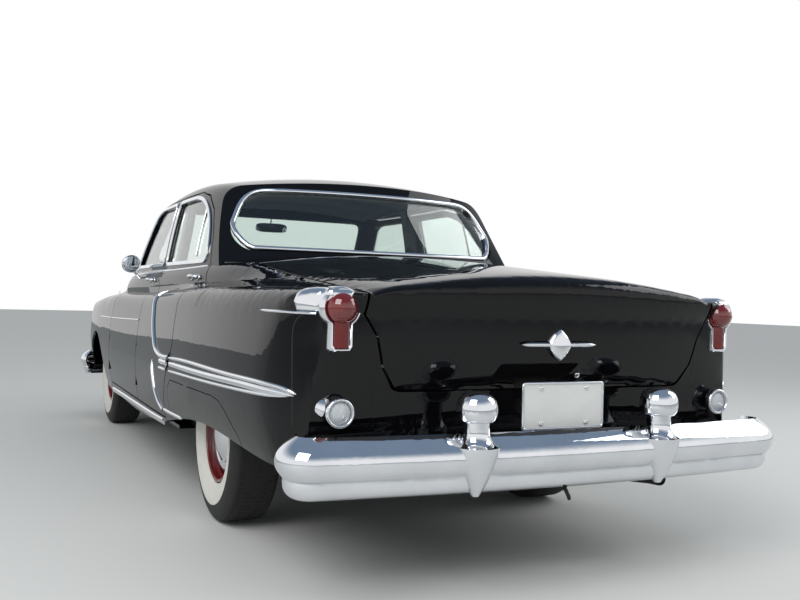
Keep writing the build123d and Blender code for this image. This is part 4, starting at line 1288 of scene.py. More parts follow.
@dataclass
class TreadBlocks:
    """Road tread: ribs broken by slanted cuts, set round the tyre by Geometry Nodes."""

    radius: float = 0.3622
    count: int = 90
    rows: tuple = (-0.062, -0.031, 0.0, 0.031, 0.062)
    block: tuple = (0.0230, 0.0170, 0.0032)
    slant: float = 28.0
    crown: float = 0.5

    def tree(self) -> bpy.types.NodeTree:
        """Make the node tree that sets one row of blocks round the axle, once.

        Returns:
            The tree, which later calls share.
        """
        tree = bpy.data.node_groups.get("tread_row")
        if tree is not None:
            return tree
        tree = bpy.data.node_groups.new("tread_row", "GeometryNodeTree")
        face = tree.interface
        face.new_socket("Geometry", in_out="INPUT", socket_type="NodeSocketGeometry")
        for name, value in (("Radius", self.radius), ("Offset", 0.0), ("Turn", 0.0)):
            socket = face.new_socket(name, in_out="INPUT", socket_type="NodeSocketFloat")
            socket.default_value = value
        socket = face.new_socket("Count", in_out="INPUT", socket_type="NodeSocketInt")
        socket.default_value = self.count
        face.new_socket("Material", in_out="INPUT", socket_type="NodeSocketMaterial")
        face.new_socket("Geometry", in_out="OUTPUT", socket_type="NodeSocketGeometry")
        enter = add_node(tree, "NodeGroupInput")
        leave = add_node(tree, "NodeGroupOutput")
        circle = add_node(tree, "GeometryNodeMeshCircle", links={
            "Vertices": enter.outputs["Count"], "Radius": enter.outputs["Radius"]})
        place = add_node(tree, "GeometryNodeInputPosition")
        aim = add_node(tree, "FunctionNodeAlignRotationToVector", settings={"axis": "Z"},
                       links={"Vector": place.outputs[0]})
        cube = add_node(tree, "GeometryNodeMeshCube", inputs={"Size": self.block})
        skew = add_node(tree, "FunctionNodeAxisAngleToRotation", inputs={"Axis": (0, 0, 1)},
                        links={"Angle": enter.outputs["Turn"]})
        both = add_node(tree, "FunctionNodeRotateRotation", settings={"rotation_space": "LOCAL"},
                        links={0: aim.outputs[0], 1: skew.outputs[0]})
        put = add_node(tree, "GeometryNodeInstanceOnPoints", links={
            "Points": circle.outputs[0], "Instance": cube.outputs[0], "Rotation": both.outputs[0]})
        real = add_node(tree, "GeometryNodeRealizeInstances", links={0: put.outputs[0]})
        # The circle lies in XY, so it is stood up to turn about X, then moved along the axle
        shift = add_node(tree, "ShaderNodeCombineXYZ", links={"X": enter.outputs["Offset"]})
        stand = add_node(tree, "GeometryNodeTransform", inputs={"Rotation": (0.0, math.pi / 2, 0.0)},
                         links={0: real.outputs[0], "Translation": shift.outputs[0]})
        paint = add_node(tree, "GeometryNodeSetMaterial", links={
            "Geometry": stand.outputs[0], "Material": enter.outputs["Material"]})
        tree.links.new(paint.outputs[0], leave.inputs[0])
        return tree

    def build(self, name: str, centre: Vector, body: str) -> bpy.types.Object:
        """Set the rows round one tyre and turn them into a plain mesh.

        Args:
            name: The piece's name.
            centre: The wheel's centre.
            body: The wheel that carries it.

        Returns:
            The new piece.
        """
        tree = self.tree()
        keys = {item.name: item.identifier for item in tree.interface.items_tree if item.in_out == "INPUT"}
        parts = []
        for k, offset in enumerate(self.rows):
            holder = placed(f"{name}_row", bpy.data.meshes.new(f"{name}_row"))
            nodes = holder.modifiers.new("tread", "NODES")
            nodes.node_group = tree
            nodes[keys["Radius"]] = self.radius - self.crown * offset ** 2
            nodes[keys["Offset"]] = offset
            nodes[keys["Turn"]] = math.radians(self.slant if k % 2 else -self.slant)
            nodes[keys["Count"]] = self.count
            nodes[keys["Material"]] = RUBBER.build()
            graph = bpy.context.evaluated_depsgraph_get()
            mesh = bpy.data.meshes.new_from_object(holder.evaluated_get(graph))
            parts.append(([v.co + centre for v in mesh.vertices], [tuple(p.vertices) for p in mesh.polygons]))
            bpy.data.objects.remove(holder)
        return fresh_object(name, *merged(parts), RUBBER, body, 20)


@dataclass(frozen=True)
class Pad:
    """One padded part of a seat: its box in metres, its lean, its channels and its corners' radius."""

    name: str
    node: str
    low: Point
    high: Point
    lean: float
    channels: int
    radius: float = 0.045


@dataclass
class Seats:
    """Bench seats: each cushion and back is inflated cloth, with sewn channels and piping."""

    voxel: float = 0.015
    pressure: float = 4.0
    steps: int = 20
    cap: float = 0.024
    groove_half: float = 0.009
    groove_depth: float = 0.010
    welt: float = 0.005
    pads: tuple = (
        Pad("front_cushion", "front_seat", (-0.625, -0.395, 0.375), (0.625, 0.085, 0.530), 0.0, 9),
        Pad("front_back", "front_seat", (-0.625, 0.080, 0.500), (0.625, 0.190, 0.985), 0.045, 9),
        Pad("rear_cushion", "rear_seat", (-0.625, 0.425, 0.375), (0.625, 0.800, 0.515), 0.0, 9),
        Pad("rear_back", "rear_seat", (-0.545, 0.815, 0.560), (0.545, 0.940, 1.015), 0.015, 8),
    )

    def form(self, pad: Pad) -> bpy.types.Object:
        """Make the pad's slack shape, a rounded block of even cells.

        Args:
            pad: The pad.

        Returns:
            The new object.
        """
        work = bmesh.new()
        bmesh.ops.create_cube(work, size=1.0)
        size = [h - l for l, h in zip(pad.low, pad.high)]
        middle = [(h + l) / 2 for l, h in zip(pad.low, pad.high)]
        for vert in work.verts:
            vert.co = Vector([m + c * e for m, c, e in zip(middle, vert.co, size)])
            vert.co.y += pad.lean * (vert.co.z - middle[2]) / size[2] if pad.lean else 0.0
        bmesh.ops.bevel(work, geom=work.edges[:] + work.verts[:], offset=min(pad.radius, min(size) * 0.42),
                        segments=5, affect="EDGES", profile=0.5)
        mesh = bpy.data.meshes.new(pad.name)
        work.to_mesh(mesh)
        work.free()
        obj = placed(pad.name, mesh)
        remesh = obj.modifiers.new("voxels", "REMESH")
        remesh.mode = "VOXEL"
        remesh.voxel_size = self.voxel
        apply_modifiers(obj)
        return obj

    def inflate(self, obj: bpy.types.Object) -> None:
        """Swell the pad with cloth under pressure, and cap how far each point moves.

        Args:
            obj: The pad's slack shape, which is changed.
        """
        rest = [v.co.copy() for v in obj.data.vertices]
        cloth = obj.modifiers.new("cloth", "CLOTH")
        cloth.settings.use_pressure = True
        cloth.settings.uniform_pressure_force = self.pressure
        cloth.settings.quality = 4
        cloth.settings.effector_weights.gravity = 0.0
        cloth.collision_settings.use_collision = False
        cloth.point_cache.frame_start = 1
        cloth.point_cache.frame_end = self.steps
        scene = bpy.context.scene
        for frame in range(1, self.steps + 1):
            scene.frame_set(frame)
        apply_modifiers(obj)
        for vert, home in zip(obj.data.vertices, rest):
            move = vert.co - home
            if move.length > self.cap:
                vert.co = home + move.normalized() * self.cap
        scene.frame_set(1)

    def channel(self, obj: bpy.types.Object, pad: Pad) -> None:
        """Press the sewn channels into the two broad faces of the pad.

        Args:
            obj: The swollen pad, which is changed.
            pad: Its sizes.
        """
        low, high = pad.low, pad.high
        thin = min(range(1, 3), key=lambda k: high[k] - low[k])
        pitch = (high[0] - low[0]) / pad.channels
        normals = [v.normal.copy() for v in obj.data.vertices]
        for vert, normal in zip(obj.data.vertices, normals):
            phase = ((vert.co.x - low[0]) / pitch) % 1.0
            groove = math.exp(-((min(phase, 1 - phase) * pitch) / self.groove_half) ** 2)
            facing = max(0.0, abs(normal[thin]) - 0.35) / 0.65
            vert.co -= normal * self.groove_depth * groove * facing

    def piping(self, pad: Pad) -> Part:
        """Lay a welt along the front edge of the pad.

        Args:
            pad: The pad.

        Returns:
            Points and faces.
        """
        low, high = pad.low, pad.high
        if high[2] - low[2] > high[1] - low[1]:
            y, z, rise, out = low[1] + pad.lean / 2, high[2] - 0.012, 0.006, 0.010
        else:
            y, z, rise, out = low[1], high[2] - 0.035, 0.005, 0.008
        line = [(low[0] + 0.05, y - out, z), (0.0, y - 0.018, z + rise), (high[0] - 0.05, y - out, z)]
        return tube(line, self.welt, 0.02, 10)

    def build(self) -> None:
        """Make the four pads."""
        for pad in self.pads:
            obj = self.form(pad)
            self.inflate(obj)
            smooth = obj.modifiers.new("smooth", "SUBSURF")
            smooth.levels = 1
            smooth.render_levels = 1
            apply_modifiers(obj)
            self.channel(obj, pad)
            for polygon in obj.data.polygons:
                polygon.use_smooth = True
            carried(obj, BROADCLOTH, "root")
            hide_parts(pad.node)
            welt = fresh_object(f"{pad.name}_piping", *self.piping(pad), PIPING, "root")
            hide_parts(pad.node)


@dataclass
class Cabin:
    """Roof lining, door cards, carpet, wheel trim, dials and the small fittings inside."""

    skins: dict[str, Skin]
    lining_half: float = 0.60
    lining_y: tuple[float, float] = (-0.60, 0.95)
    lining_low: float = 1.30
    bow_pitch: float = 0.31
    eye_z: float = 1.10
    lamp_y: float = 0.25
    column: Point = (0, 0.375, 0.230)
    horn_radius: float = 0.135
    dash_y: float = -0.945
    dial_z: float = 0.960
    dials: tuple = ((0.370, 0.070), (0.215, 0.042), (0.520, 0.042), (-0.30, 0.045))
    knob_z: float = 0.905
    knobs: tuple = (-0.12, -0.04, 0.04, 0.12)
    band_half: float = 0.64
    band_z: float = 0.865
    mirror_half: tuple[float, float] = (0.105, 0.030)
    mirror_z: float = 1.405
    doors: tuple = (("front_door", -0.98, -0.13), ("rear_door", 0.02, 0.62))
    card_z: tuple[float, float] = (0.43, 1.03)
    rib_low: float = 0.75
    rib_pitch: float = 0.06
    armrest_z: float = 0.78
    crank_z: float = 0.92
    carpet_x: tuple[float, float] = (-0.76, 0.76)
    carpet_y: tuple[float, float] = (-1.05, 0.68)
    carpet_z: float = 0.3443

    def lining(self) -> None:
        """Stretch the roof lining under the roof, with its bows showing as seams, and hang the lamp."""
        skin = self.skins["body_shell"]
        rows = []
        for x in spread(-self.lining_half, self.lining_half, 36):
            row = []
            for y in spread(*self.lining_y, 60):
                hit = skin.cast((x, y, self.eye_z), (0, 0, 1))
                sag = 0.010 + 0.004 * abs(math.sin(math.pi * (y - self.lining_y[0]) / self.bow_pitch))
                row.append((x, y, hit[0].z - sag) if hit and hit[0].z >= self.lining_low else None)
            rows.append(row)
        cloth = sheet(rows, fits=lambda face: span(face, 2) < 0.06)
        thicken(fresh_object("roof_lining", *cloth, LINING, "root"), 0.004)
        place = skin.cast((0.0, self.lamp_y, self.eye_z), (0, 0, 1))[0]
        dome = turned([(0.0, 0.062), (0.010, 0.060), (0.020, 0.045), (0.026, 0.0)],
                      (0, self.lamp_y, place.z - 0.010), (0, 0, -1), 40)
        fresh_object("roof_lamp", *dome, CLEAR_LENS, "root")
        ring = turned([(0.0, 0.062), (0.010, 0.064), (0.012, 0.072), (0.0, 0.076)],
                      (0, self.lamp_y, place.z - 0.008), (0, 0, -1), 40)
        fresh_object("roof_lamp_ring", *ring, CHROME, "root")

    def steering(self) -> None:
        """Dress the steering wheel with its half horn ring and hub."""
        low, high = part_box("steering_wheel")
        centre = (low + high) / 2
        axis = Vector(self.column).normalized()
        across = Vector((1, 0, 0))
        up = axis.cross(across) * -1
        hub = turned([(-0.012, 0.040), (0.010, 0.046), (0.024, 0.034), (0.030, 0.0)], centre, axis, 40)
        fresh_object("steering_hub", *hub, CHROME, "steering_wheel")
        reach = self.horn_radius
        ring = [centre + axis * 0.012 + across * reach * math.cos(angle) + up * reach * math.sin(angle)
                for angle in spread(math.pi, 2 * math.pi, 24)]
        fresh_object("horn_ring", *tube(ring, 0.0045, 0.012, 10), CHROME, "steering_wheel")

    def dash(self) -> None:
        """Set the dials, knobs and the bright band on the dashboard."""
        y, z, back = self.dash_y, self.dial_z, Vector((0, 1, 0))
        for k, (x, radius) in enumerate(self.dials):
            ring = turned([(0.0, radius), (0.010, radius), (0.013, radius * 0.94), (0.006, radius * 0.88),
                           (0.0, radius * 0.88)], (x, y, z), back, 48)
            fresh_object(f"dial_ring_{k}", *ring, CHROME, "root")
            face = lathe([(0.003, radius * 0.9), (0.0032, 0.0)], (x, y, z), back, 40)
            fresh_object(f"dial_face_{k}", *face, DIAL, "root")
            tip = Vector((x - radius * 0.5, y + 0.006, z + radius * 0.45))
            needle = strip([(Vector((x, y + 0.006, z)), back), (tip, back)], 0.0025, 0.001)
            fresh_object(f"dial_needle_{k}", *needle, RED_LENS, "root")
        for k, x in enumerate(self.knobs):
            knob = turned([(0.0, 0.006), (0.014, 0.006), (0.016, 0.012), (0.026, 0.013), (0.030, 0.0)],
                          (x, y, self.knob_z), back, 24)
            fresh_object(f"dash_knob_{k}", *knob, IVORY, "root")
        band = [(Vector((x, y, self.band_z)), back) for x in spread(-self.band_half, self.band_half, 20)]
        fresh_object("dash_band", *strip(band, 0.014, 0.005), CHROME, "root")

    def view_mirror(self) -> None:
        """Hang the inner mirror from the windscreen's head."""
        hit = self.skins["windscreen"].cast((0.0, 0.5, 1.42), (0, -1, 0))
        y = hit[0].y + 0.030 if hit else -0.60
        wide, tall = self.mirror_half
        rows = [[Vector((wide * (0.96 + 0.04 * grow) * squared_off(math.cos(angle), 0.5), y + 0.022 - depth,
                         self.mirror_z + tall * (0.9 + 0.1 * grow) * squared_off(math.sin(angle), 0.6)))
                 for angle in round_angles(48)]
                for grow, depth in ((0.0, 0.0), (1.0, 0.004), (1.0, 0.014), (0.8, 0.022))]
        verts, faces = sheet(rows, ring=True)
        faces += [tuple(range(48)), tuple(range(len(verts) - 48, len(verts)))]
        fresh_object("inner_mirror", verts, faces, MIRROR, "root", 50)
        stalk = tube([(0, y, 1.415), (0, y - 0.004, 1.44), (0, y + 0.006, 1.468)], 0.005, 0.006, 10)
        fresh_object("inner_mirror_stalk", *stalk, CHROME, "root")

    def door_cards(self) -> None:
        """Lay a cloth card with an armrest and a window crank on the inside of each door."""
        for name, y0, y1 in self.doors:
            skin = self.skins[f"{name}_left"]
            rows = []
            for z in spread(*self.card_z, 24):
                rib = 0.0
                if z > self.rib_low:
                    rib = 0.002 * math.cos(2 * math.pi * (z - self.card_z[0]) / self.rib_pitch)
                hits = [(skin.cast((0.3, y, z), (1, 0, 0)), y) for y in spread(y0, y1, 30)]
                rows.append([(hit[0].x - 0.004 - rib, y, z) if hit else None for hit, y in hits])
            card = sheet(rows, fits=lambda face: span(face, 0) < 0.03)
            for piece in on_both_sides(f"{name}_card", card, BROADCLOTH, f"{name}_*"):
                thicken(piece, -0.003)
            middle = (y0 + y1) / 2
            hit = skin.cast((0.3, middle, self.armrest_z), (1, 0, 0))
            x, z = hit[0].x if hit else 0.84, self.armrest_z
            rest = tube([(x - 0.004, middle - 0.17, z - 0.015), (x - 0.040, middle - 0.14, z),
                         (x - 0.045, middle, z + 0.005), (x - 0.040, middle + 0.14, z),
                         (x - 0.004, middle + 0.17, z - 0.015)], 0.021, 0.02, 14)
            on_both_sides(f"{name}_armrest", rest, PIPING, f"{name}_*")
            z = self.crank_z
            crank = merged([
                turned([(0.0, 0.020), (0.012, 0.018), (0.018, 0.0)], (x, middle + 0.10, z), (-1, 0, 0), 24),
                tube([(x - 0.016, middle + 0.10, z), (x - 0.020, middle + 0.06, z - 0.015),
                      (x - 0.018, middle + 0.02, z - 0.020)], 0.005, 0.01, 8),
                turned([(0.0, 0.004), (0.012, 0.010), (0.030, 0.009), (0.034, 0.0)],
                       (x - 0.018, middle + 0.02, z - 0.020), (-1, 0, 0), 20)])
            on_both_sides(f"{name}_window_crank", crank, CHROME, f"{name}_*")

    def carpet(self) -> None:
        """Lay the carpet, slightly uneven, on the cabin floor."""
        rows = [[(x, y, self.carpet_z + 0.0015 * math.sin(37 * x) * math.sin(29 * y))
                 for y in spread(*self.carpet_y, 46)] for x in spread(*self.carpet_x, 40)]
        fresh_object("cabin_carpet", *sheet(rows), CARPET, "root")

    def build(self) -> None:
        """Make everything inside."""
        self.lining()
        self.steering()
        self.dash()
        self.view_mirror()
        self.door_cards()
        self.carpet()


@dataclass
class Fittings:
    """Handles, front lamps, seams, ornaments, wipers, plate frame, hook, tailpipe end and mirror outside."""

    skins: dict[str, Skin]
    handles: tuple = (("front_door", -0.205, 1.030, 0.110), ("rear_door", 0.800, 1.038, 0.105))
    headlamp: Point = (0.780, -2.625, 0.770)
    headlamp_radius: float = 0.092
    parking_lamp: tuple[float, float] = (0.790, 0.600)
    seam: tuple = ((2.455, 0.912), (2.428, 0.898), (2.413, 0.868), (2.409, 0.80), (2.411, 0.70),
                   (2.414, 0.62), (2.417, 0.555))
    fin_place: tuple[float, float] = (0.800, -1.850)
    fin_length: float = 0.110
    fin_height: float = 0.034
    hood_spear: tuple[float, float] = (-2.46, -1.28)
    wiper_pivot: Point = (0.30, -1.135, 1.128)
    plate_z: tuple[float, float] = (0.545, 0.695)
    plate_half: float = 0.160
    lock: tuple[float, float] = (-0.105, 0.715)
    hook: tuple = ((0.0, 2.56, 0.372), (0.0, 2.60, 0.366), (0.004, 2.625, 0.352), (0.0, 2.640, 0.330),
                   (-0.012, 2.632, 0.314), (-0.020, 2.615, 0.322))
    pipe: Point = (-0.560, 2.431, 0.311)
    mirror_place: tuple[float, float] = (0.898, 1.132)

    def door_handles(self) -> None:
        """Make a pull handle with its push button on each door."""
        for door, y, z, length in self.handles:
            skin = self.skins[f"{door}_left"]
            ends = [skin.cast((1.4, y + shift, z), (-1, 0, 0)) for shift in (-length, 0.0)]
            (a, na), (b, nb) = ends
            bar = resampled([a + na * 0.002, a + na * 0.020 + Vector((0, 0.006, 0)), (a + b) / 2 + na * 0.030,
                             b + nb * 0.022 - Vector((0, 0.010, 0)), b + nb * 0.002], 0.006)
            parts = [tube(bar, 0.0085, 0.006, 14)]
            for place, normal in ends:
                parts.append(turned([(-0.002, 0.017), (0.004, 0.015), (0.007, 0.0)], place, normal, 28))
            place = b + Vector((0, 0.004, 0))
            parts.append(turned([(0.0, 0.010), (0.016, 0.010), (0.019, 0.0)], place, nb, 24))
            on_both_sides(f"{door}_handle", merged(parts), CHROME, f"{door}_*", 50)

    def headlamps(self) -> None:
        """Put a fluted lens and a bright rim on each headlamp."""
        x, y, z = self.headlamp
        radius = self.headlamp_radius
        rim = turned([(-0.004, radius - 0.010), (0.006, radius - 0.008), (0.012, radius + 0.002),
                      (0.004, radius + 0.009), (-0.050, radius + 0.006), (-0.055, radius - 0.004)],
                     (x, y, z), (0, -1, 0), 72, closed=True)
        glass = turned([(-0.002, radius - 0.006), (0.010, radius * 0.75), (0.018, radius * 0.4),
                        (0.021, 0.0)], (x, y + 0.004, z), (0, -1, 0), 64)
        bowl = turned([(0.004, radius - 0.006), (-0.020, radius * 0.8), (-0.045, radius * 0.4),
                       (-0.052, 0.0)], (x, y, z), (0, -1, 0), 64)
        pieces = on_both_sides("headlamp_rim", rim, CHROME, "root", 50)
        pieces += on_both_sides("headlamp_glass", glass, CLEAR_LENS, "root")
        pieces += on_both_sides("headlamp_bowl", bowl, CHROME, "root")
        for piece in pieces:
            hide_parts("headlamps")

    def parking_lamps(self) -> None:
        """Set a small round lamp under each headlamp."""
        hit = self.skins["front_fender_left"].cast(*from_front(Vector(self.parking_lamp)))
        if hit is None:
            return
        place, normal = hit
        ring = turned([(-0.004, 0.034), (0.010, 0.034), (0.014, 0.038), (0.008, 0.044), (-0.004, 0.046)],
                      place, normal, 48, closed=True)
        glass = turned([(0.0, 0.036), (0.010, 0.028), (0.016, 0.0)], place, normal, 40)
        on_both_sides("parking_lamp_ring", ring, CHROME, "root", 50)
        on_both_sides("parking_lamp_glass", glass, CLEAR_LENS, "root")

    def end_seams(self) -> None:
        """Lay the dark bead in the seam between each rear fender and its end piece."""
        path = self.skins["rear_fender_left"].path(resampled(self.seam, 0.008), from_side(1), 4)
        on_both_sides("fender_end_seam", strip(path, 0.0045, 0.0012), SEAL, "root")

    def ornaments(self) -> None:
        """Stand a small plain fin on each front fender and a plain spear on the hood."""
        skin = self.skins["front_fender_left"]
        x, middle = self.fin_place
        start = skin.cast((x, middle, 2.0), (0, 0, -1))[0].y - self.fin_length / 2
        rows = []
        for t in spread(0.0, 1.0, 12):
            half = 0.0035 + 0.006 * math.sin(math.pi * min(1.0, t * 1.2 + 0.05)) ** 0.8
            tall = self.fin_height * math.sin(math.pi / 2 * min(1.0, t * 1.15)) ** 1.6
            tall *= 1 - 0.75 * max(0.0, t - 0.85) / 0.15
            foot = skin.cast((x, start + self.fin_length * t, 2.0), (0, 0, -1))[0]
            rows.append([foot + Vector((half * math.cos(angle), 0, (tall + 0.006) * math.sin(angle) - 0.003))
                         for angle in spread(0.0, math.pi, 10)])
        verts, faces = sheet(rows)
        faces += [tuple(range(11)), tuple(range(len(verts) - 11, len(verts)))]
        on_both_sides("fender_fin", (verts, faces), CHROME, "root", 50)
        line = [Vector((0.0, y)) for y in spread(*self.hood_spear, 50)]
        path = self.skins["hood"].path(line, from_above, 4)
        spear = strip(path, 0.030, 0.016, Section.PEAKED, taper=(0.20, 0.5))
        fresh_object("hood_spear", *spear, CHROME, "hood")

    def wipers(self) -> None:
        """Rest the two wipers on the windscreen."""
        skin = self.skins["windscreen"]
        for sign, name in SIDES:
            across, along, up = self.wiper_pivot
            pivot = Vector((sign * across, along, up))
            points = []
            for k in range(7):
                hit = skin.cast((sign * (across - 0.050 * k), -2.5, 1.160 + 0.004 * k), (0, 1, 0))
                if hit:
                    points.append(hit[0] + hit[1] * 0.007)
            if len(points) < 4:
                continue
            parts = [tube([pivot, pivot + Vector((0, 0.006, 0.02)), points[1], points[3]], 0.0035, 0.01, 8),
                     turned([(-0.02, 0.012), (0.006, 0.010), (0.012, 0.0)], pivot, (0, -0.5, 0.87), 20)]
            fresh_object(f"wiper_arm_{name}", *merged(parts), CHROME, "root")
            blade = [(p, Vector((0, -0.8, 0.6))) for p in points]
            fresh_object(f"wiper_blade_{name}", *strip(blade, 0.006, 0.005), SEAL, "root")

    def plate(self) -> None:
        """Frame the blank plate and bolt it on."""
        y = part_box("number_plate")[1][1]
        (z0, z1), half = self.plate_z, self.plate_half
        outline = rounded_outline([(-half, z0), (half, z0), (half, z1), (-half, z1)], (0.010,) * 4, 5)
        path = [(Vector((p.x, y - 0.001, p.y)), Vector((0, 1, 0))) for p in outline]
        fresh_object("plate_frame", *strip(path, 0.009, 0.0045, Section.ROUND, closed=True), CHROME, "root")
        bolts = [turned([(0.0, 0.008), (0.003, 0.0075), (0.0042, 0.0)], (x, y, z), (0, 1, 0), 20)
                 for x in (-0.09, 0.09) for z in (z0 + 0.017, z1 - 0.017)]
        fresh_object("plate_bolts", *merged(bolts), CHROME, "root", 50)
        hit = self.skins["trunk_lid"].cast(*from_behind(Vector(self.lock)))
        if hit:
            knob = turned([(0.0, 0.010), (0.006, 0.010), (0.009, 0.0)], hit[0], hit[1], 24)
            fresh_object("trunk_lock", *knob, CHROME, "trunk_lid", 50)

    def under(self) -> None:
        """Hang the towing hook and line the tailpipe's end."""
        fresh_object("towing_hook", *tube(self.hook, 0.0065, 0.008, 12), CHASSIS, "root")
        pipe = turned([(-0.10, 0.0255), (0.012, 0.0258), (0.016, 0.0245), (0.012, 0.0225), (-0.06, 0.0225)],
                      self.pipe, (0, 1, 0.06), 40)
        fresh_object("tailpipe_end", *pipe, CHASSIS, "root")

    def mirror(self) -> None:
        """Face the door mirror with silvered glass."""
        x, z = self.mirror_place
        centre = (x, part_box("mirror")[1][1], z)
        glass = turned([(-0.0005, 0.048), (0.0010, 0.046), (0.0022, 0.030), (0.0026, 0.0)], centre,
                       (0, 1, 0), 48)
        fresh_object("mirror_glass", *glass, MIRROR, "front_door_left")
        rim = turned([(-0.020, 0.0532), (0.0, 0.0540), (0.003, 0.0515), (0.001, 0.0480)], centre,
                     (0, 1, 0), 56)
        fresh_object("mirror_rim", *rim, CHROME, "front_door_left", 50)

    def build(self) -> None:
        """Make all the outside fittings."""
        self.door_handles()
        self.headlamps()
        self.parking_lamps()
        self.end_seams()
        self.ornaments()
        self.wipers()
        self.plate()
        self.under()
        self.mirror()


@dataclass
class RolledPanels:
    """Pressed panels whose corners are rolled: each CAD panel's outer face, evened over a radius."""

    frame: dict
    nodes: tuple = (("rear_fender_left", "root"), ("rear_fender_right", "root"), ("trunk_lid", "trunk_lid"),
                    ("tail_panel", "root"), ("front_fender_left", "root"), ("front_fender_right", "root"),
                    ("hood", "hood"))
    around: tuple = ("body_shell", "front_door_left", "front_door_right", "rear_door_left", "rear_door_right")
    # Only the two ends of the car are evened, from these places along it, over a short fade
    rear_start: float = 1.32
    front_start: float = -1.38
    fade: float = 0.20
    # A face is outside when it looks away from the core and no other panel covers it
    core: Point = (0.25, 1.9, 0.62)
    facing: float = 0.12
    cover: float = 0.002
    # Outside triangles are split until their sides are this short
    weld: float = 0.0001
    edge: float = 0.017
    rounds: int = 7
    # Heights are measured by rays at these shares of the radius, and the rays start this far out
    wide: float = 0.105
    narrow: float = 0.045
    rings: tuple = (0.35, 0.7, 1.0)
    spokes: int = 7
    reach: float = 0.30
    # The radius is narrow above this height and beyond this width, on the fender crowns
    crown_z: float = 0.80
    crown_rise: float = 0.12
    crown_x: float = 0.62
    crown_span: float = 0.10
    # A height counts less as it nears this slope and step, where another surface begins
    slope: float = 0.50
    step: float = 0.008
    least_trust: float = 0.35
    least_share: float = 0.05
    evenings: int = 10
    sharp_degrees: float = 32.0

    def share(self, place: Vector) -> float:
        """Tell how strongly a place is evened.

        Args:
            place: A point of a panel.

        Returns:
            Nothing beside the cabin, 1 at the two ends of the car.
        """
        beyond = max(place.y - self.rear_start, self.front_start - place.y)
        along = clamped(beyond / self.fade)
        return along * along * (3 - 2 * along)

    def radius(self, place: Vector) -> float:
        """Tell the radius of evening at a place.

        Args:
            place: A point of a panel.

        Returns:
            The radius, small on the fender crowns and wide elsewhere.
        """
        high = clamped((place.z - self.crown_z) / self.crown_rise)
        aside = clamped((abs(place.x) - self.crown_x) / self.crown_span)
        return self.wide + (self.narrow - self.wide) * high * aside

    def outer(self, tree: BVHTree, place: Vector, normal: Vector) -> bool:
        """Tell whether a face looks out of the car and nothing covers it.

        Args:
            tree: The faces of all the panels.
            place: The middle of the face.
            normal: Its normal.

        Returns:
            Whether the face is part of the outside.
        """
        side, ahead, up = self.core
        core = Vector((side * max(-1.0, min(1.0, place.x)), max(-ahead, min(ahead, place.y)), up))
        if normal.dot((place - core).normalized()) < self.facing:
            return False
        hit = tree.ray_cast(place + normal * self.reach, -normal)
        return hit[0] is not None and abs(hit[3] - self.reach) < self.cover

    def lowered(self, tree: BVHTree, place: Vector, normal: Vector) -> float:
        """Measure the heights round a point, in pairs that lie across from each other.

        Args:
            tree: The faces of all the panels.
            place: A point of a panel.
            normal: Its normal.

        Returns:
            How far along its normal the point moves to lie on the evened surface.
        """
        size = self.radius(place)
        first = normal.orthogonal().normalized()
        second = normal.cross(first)
        total = weight = 0.0
        for ring in self.rings:
            away = size * ring
            for k in range(self.spokes):
                angle = math.pi * (k + ring) / self.spokes
                shift = (first * math.cos(angle) + second * math.sin(angle)) * away
                hits = [tree.ray_cast(place + side + normal * self.reach, -normal)
                        for side in (shift, -shift)]
                heights = [self.reach - hit[3] for hit in hits if hit[0] is not None]
                if len(heights) == 2:
                    worst = max(abs(h) for h in heights) / (self.slope * away + self.step)
                    trust = max(0.0, 1 - worst * worst) ** 2
                    total += trust * (heights[0] + heights[1]) / 2
                    weight += trust
        full = len(self.rings) * self.spokes
        return total / max(weight, self.least_trust * full) * self.share(place)

    def refined(self, work: bmesh.types.BMesh) -> Part:
        """Split the outer triangles until their sides are short.

        Args:
            work: The panel's triangles, the outer ones marked with material 1.

        Returns:
            Points, and triangles of three points and the mark.
        """
        work.verts.index_update()
        verts = [v.co.copy() for v in work.verts]
        faces = [(*(v.index for v in f.verts), f.material_index) for f in work.faces]
        for _ in range(self.rounds):
            middles = {}
            for *corners, outer in faces:
                for k in range(3 if outer else 0):
                    key = tuple(sorted((corners[k], corners[(k + 1) % 3])))
                    if key in middles:
                        continue
                    middle = (verts[key[0]] + verts[key[1]]) / 2
                    if (verts[key[0]] - verts[key[1]]).length > self.edge and self.share(middle) > 0:
                        middles[key] = len(verts)
                        verts.append(middle)
            if not middles:
                break
            split = []
            for *corners, outer in faces:
                new = [middles.get(tuple(sorted((corners[k], corners[(k + 1) % 3])))) for k in range(3)]
                count = 3 - new.count(None)
                turn = 0
                if count == 1:
                    turn = next(k for k in range(3) if new[k] is not None)
                elif count == 2:
                    turn = (new.index(None) + 1) % 3
                (p, q, r), (pq, qr, rp) = [items[turn:] + items[:turn] for items in (corners, new)]
                if count == 0:
                    split.append((p, q, r, outer))
                elif count == 1:
                    split += [(p, pq, r, outer), (pq, q, r, outer)]
                elif count == 2:
                    split += [(pq, q, qr, outer), (p, pq, qr, outer), (p, qr, r, outer)]
                else:
                    split += [(p, pq, rp, outer), (pq, q, qr, outer), (rp, qr, r, outer), (pq, qr, rp, outer)]
            faces = split
        return verts, faces

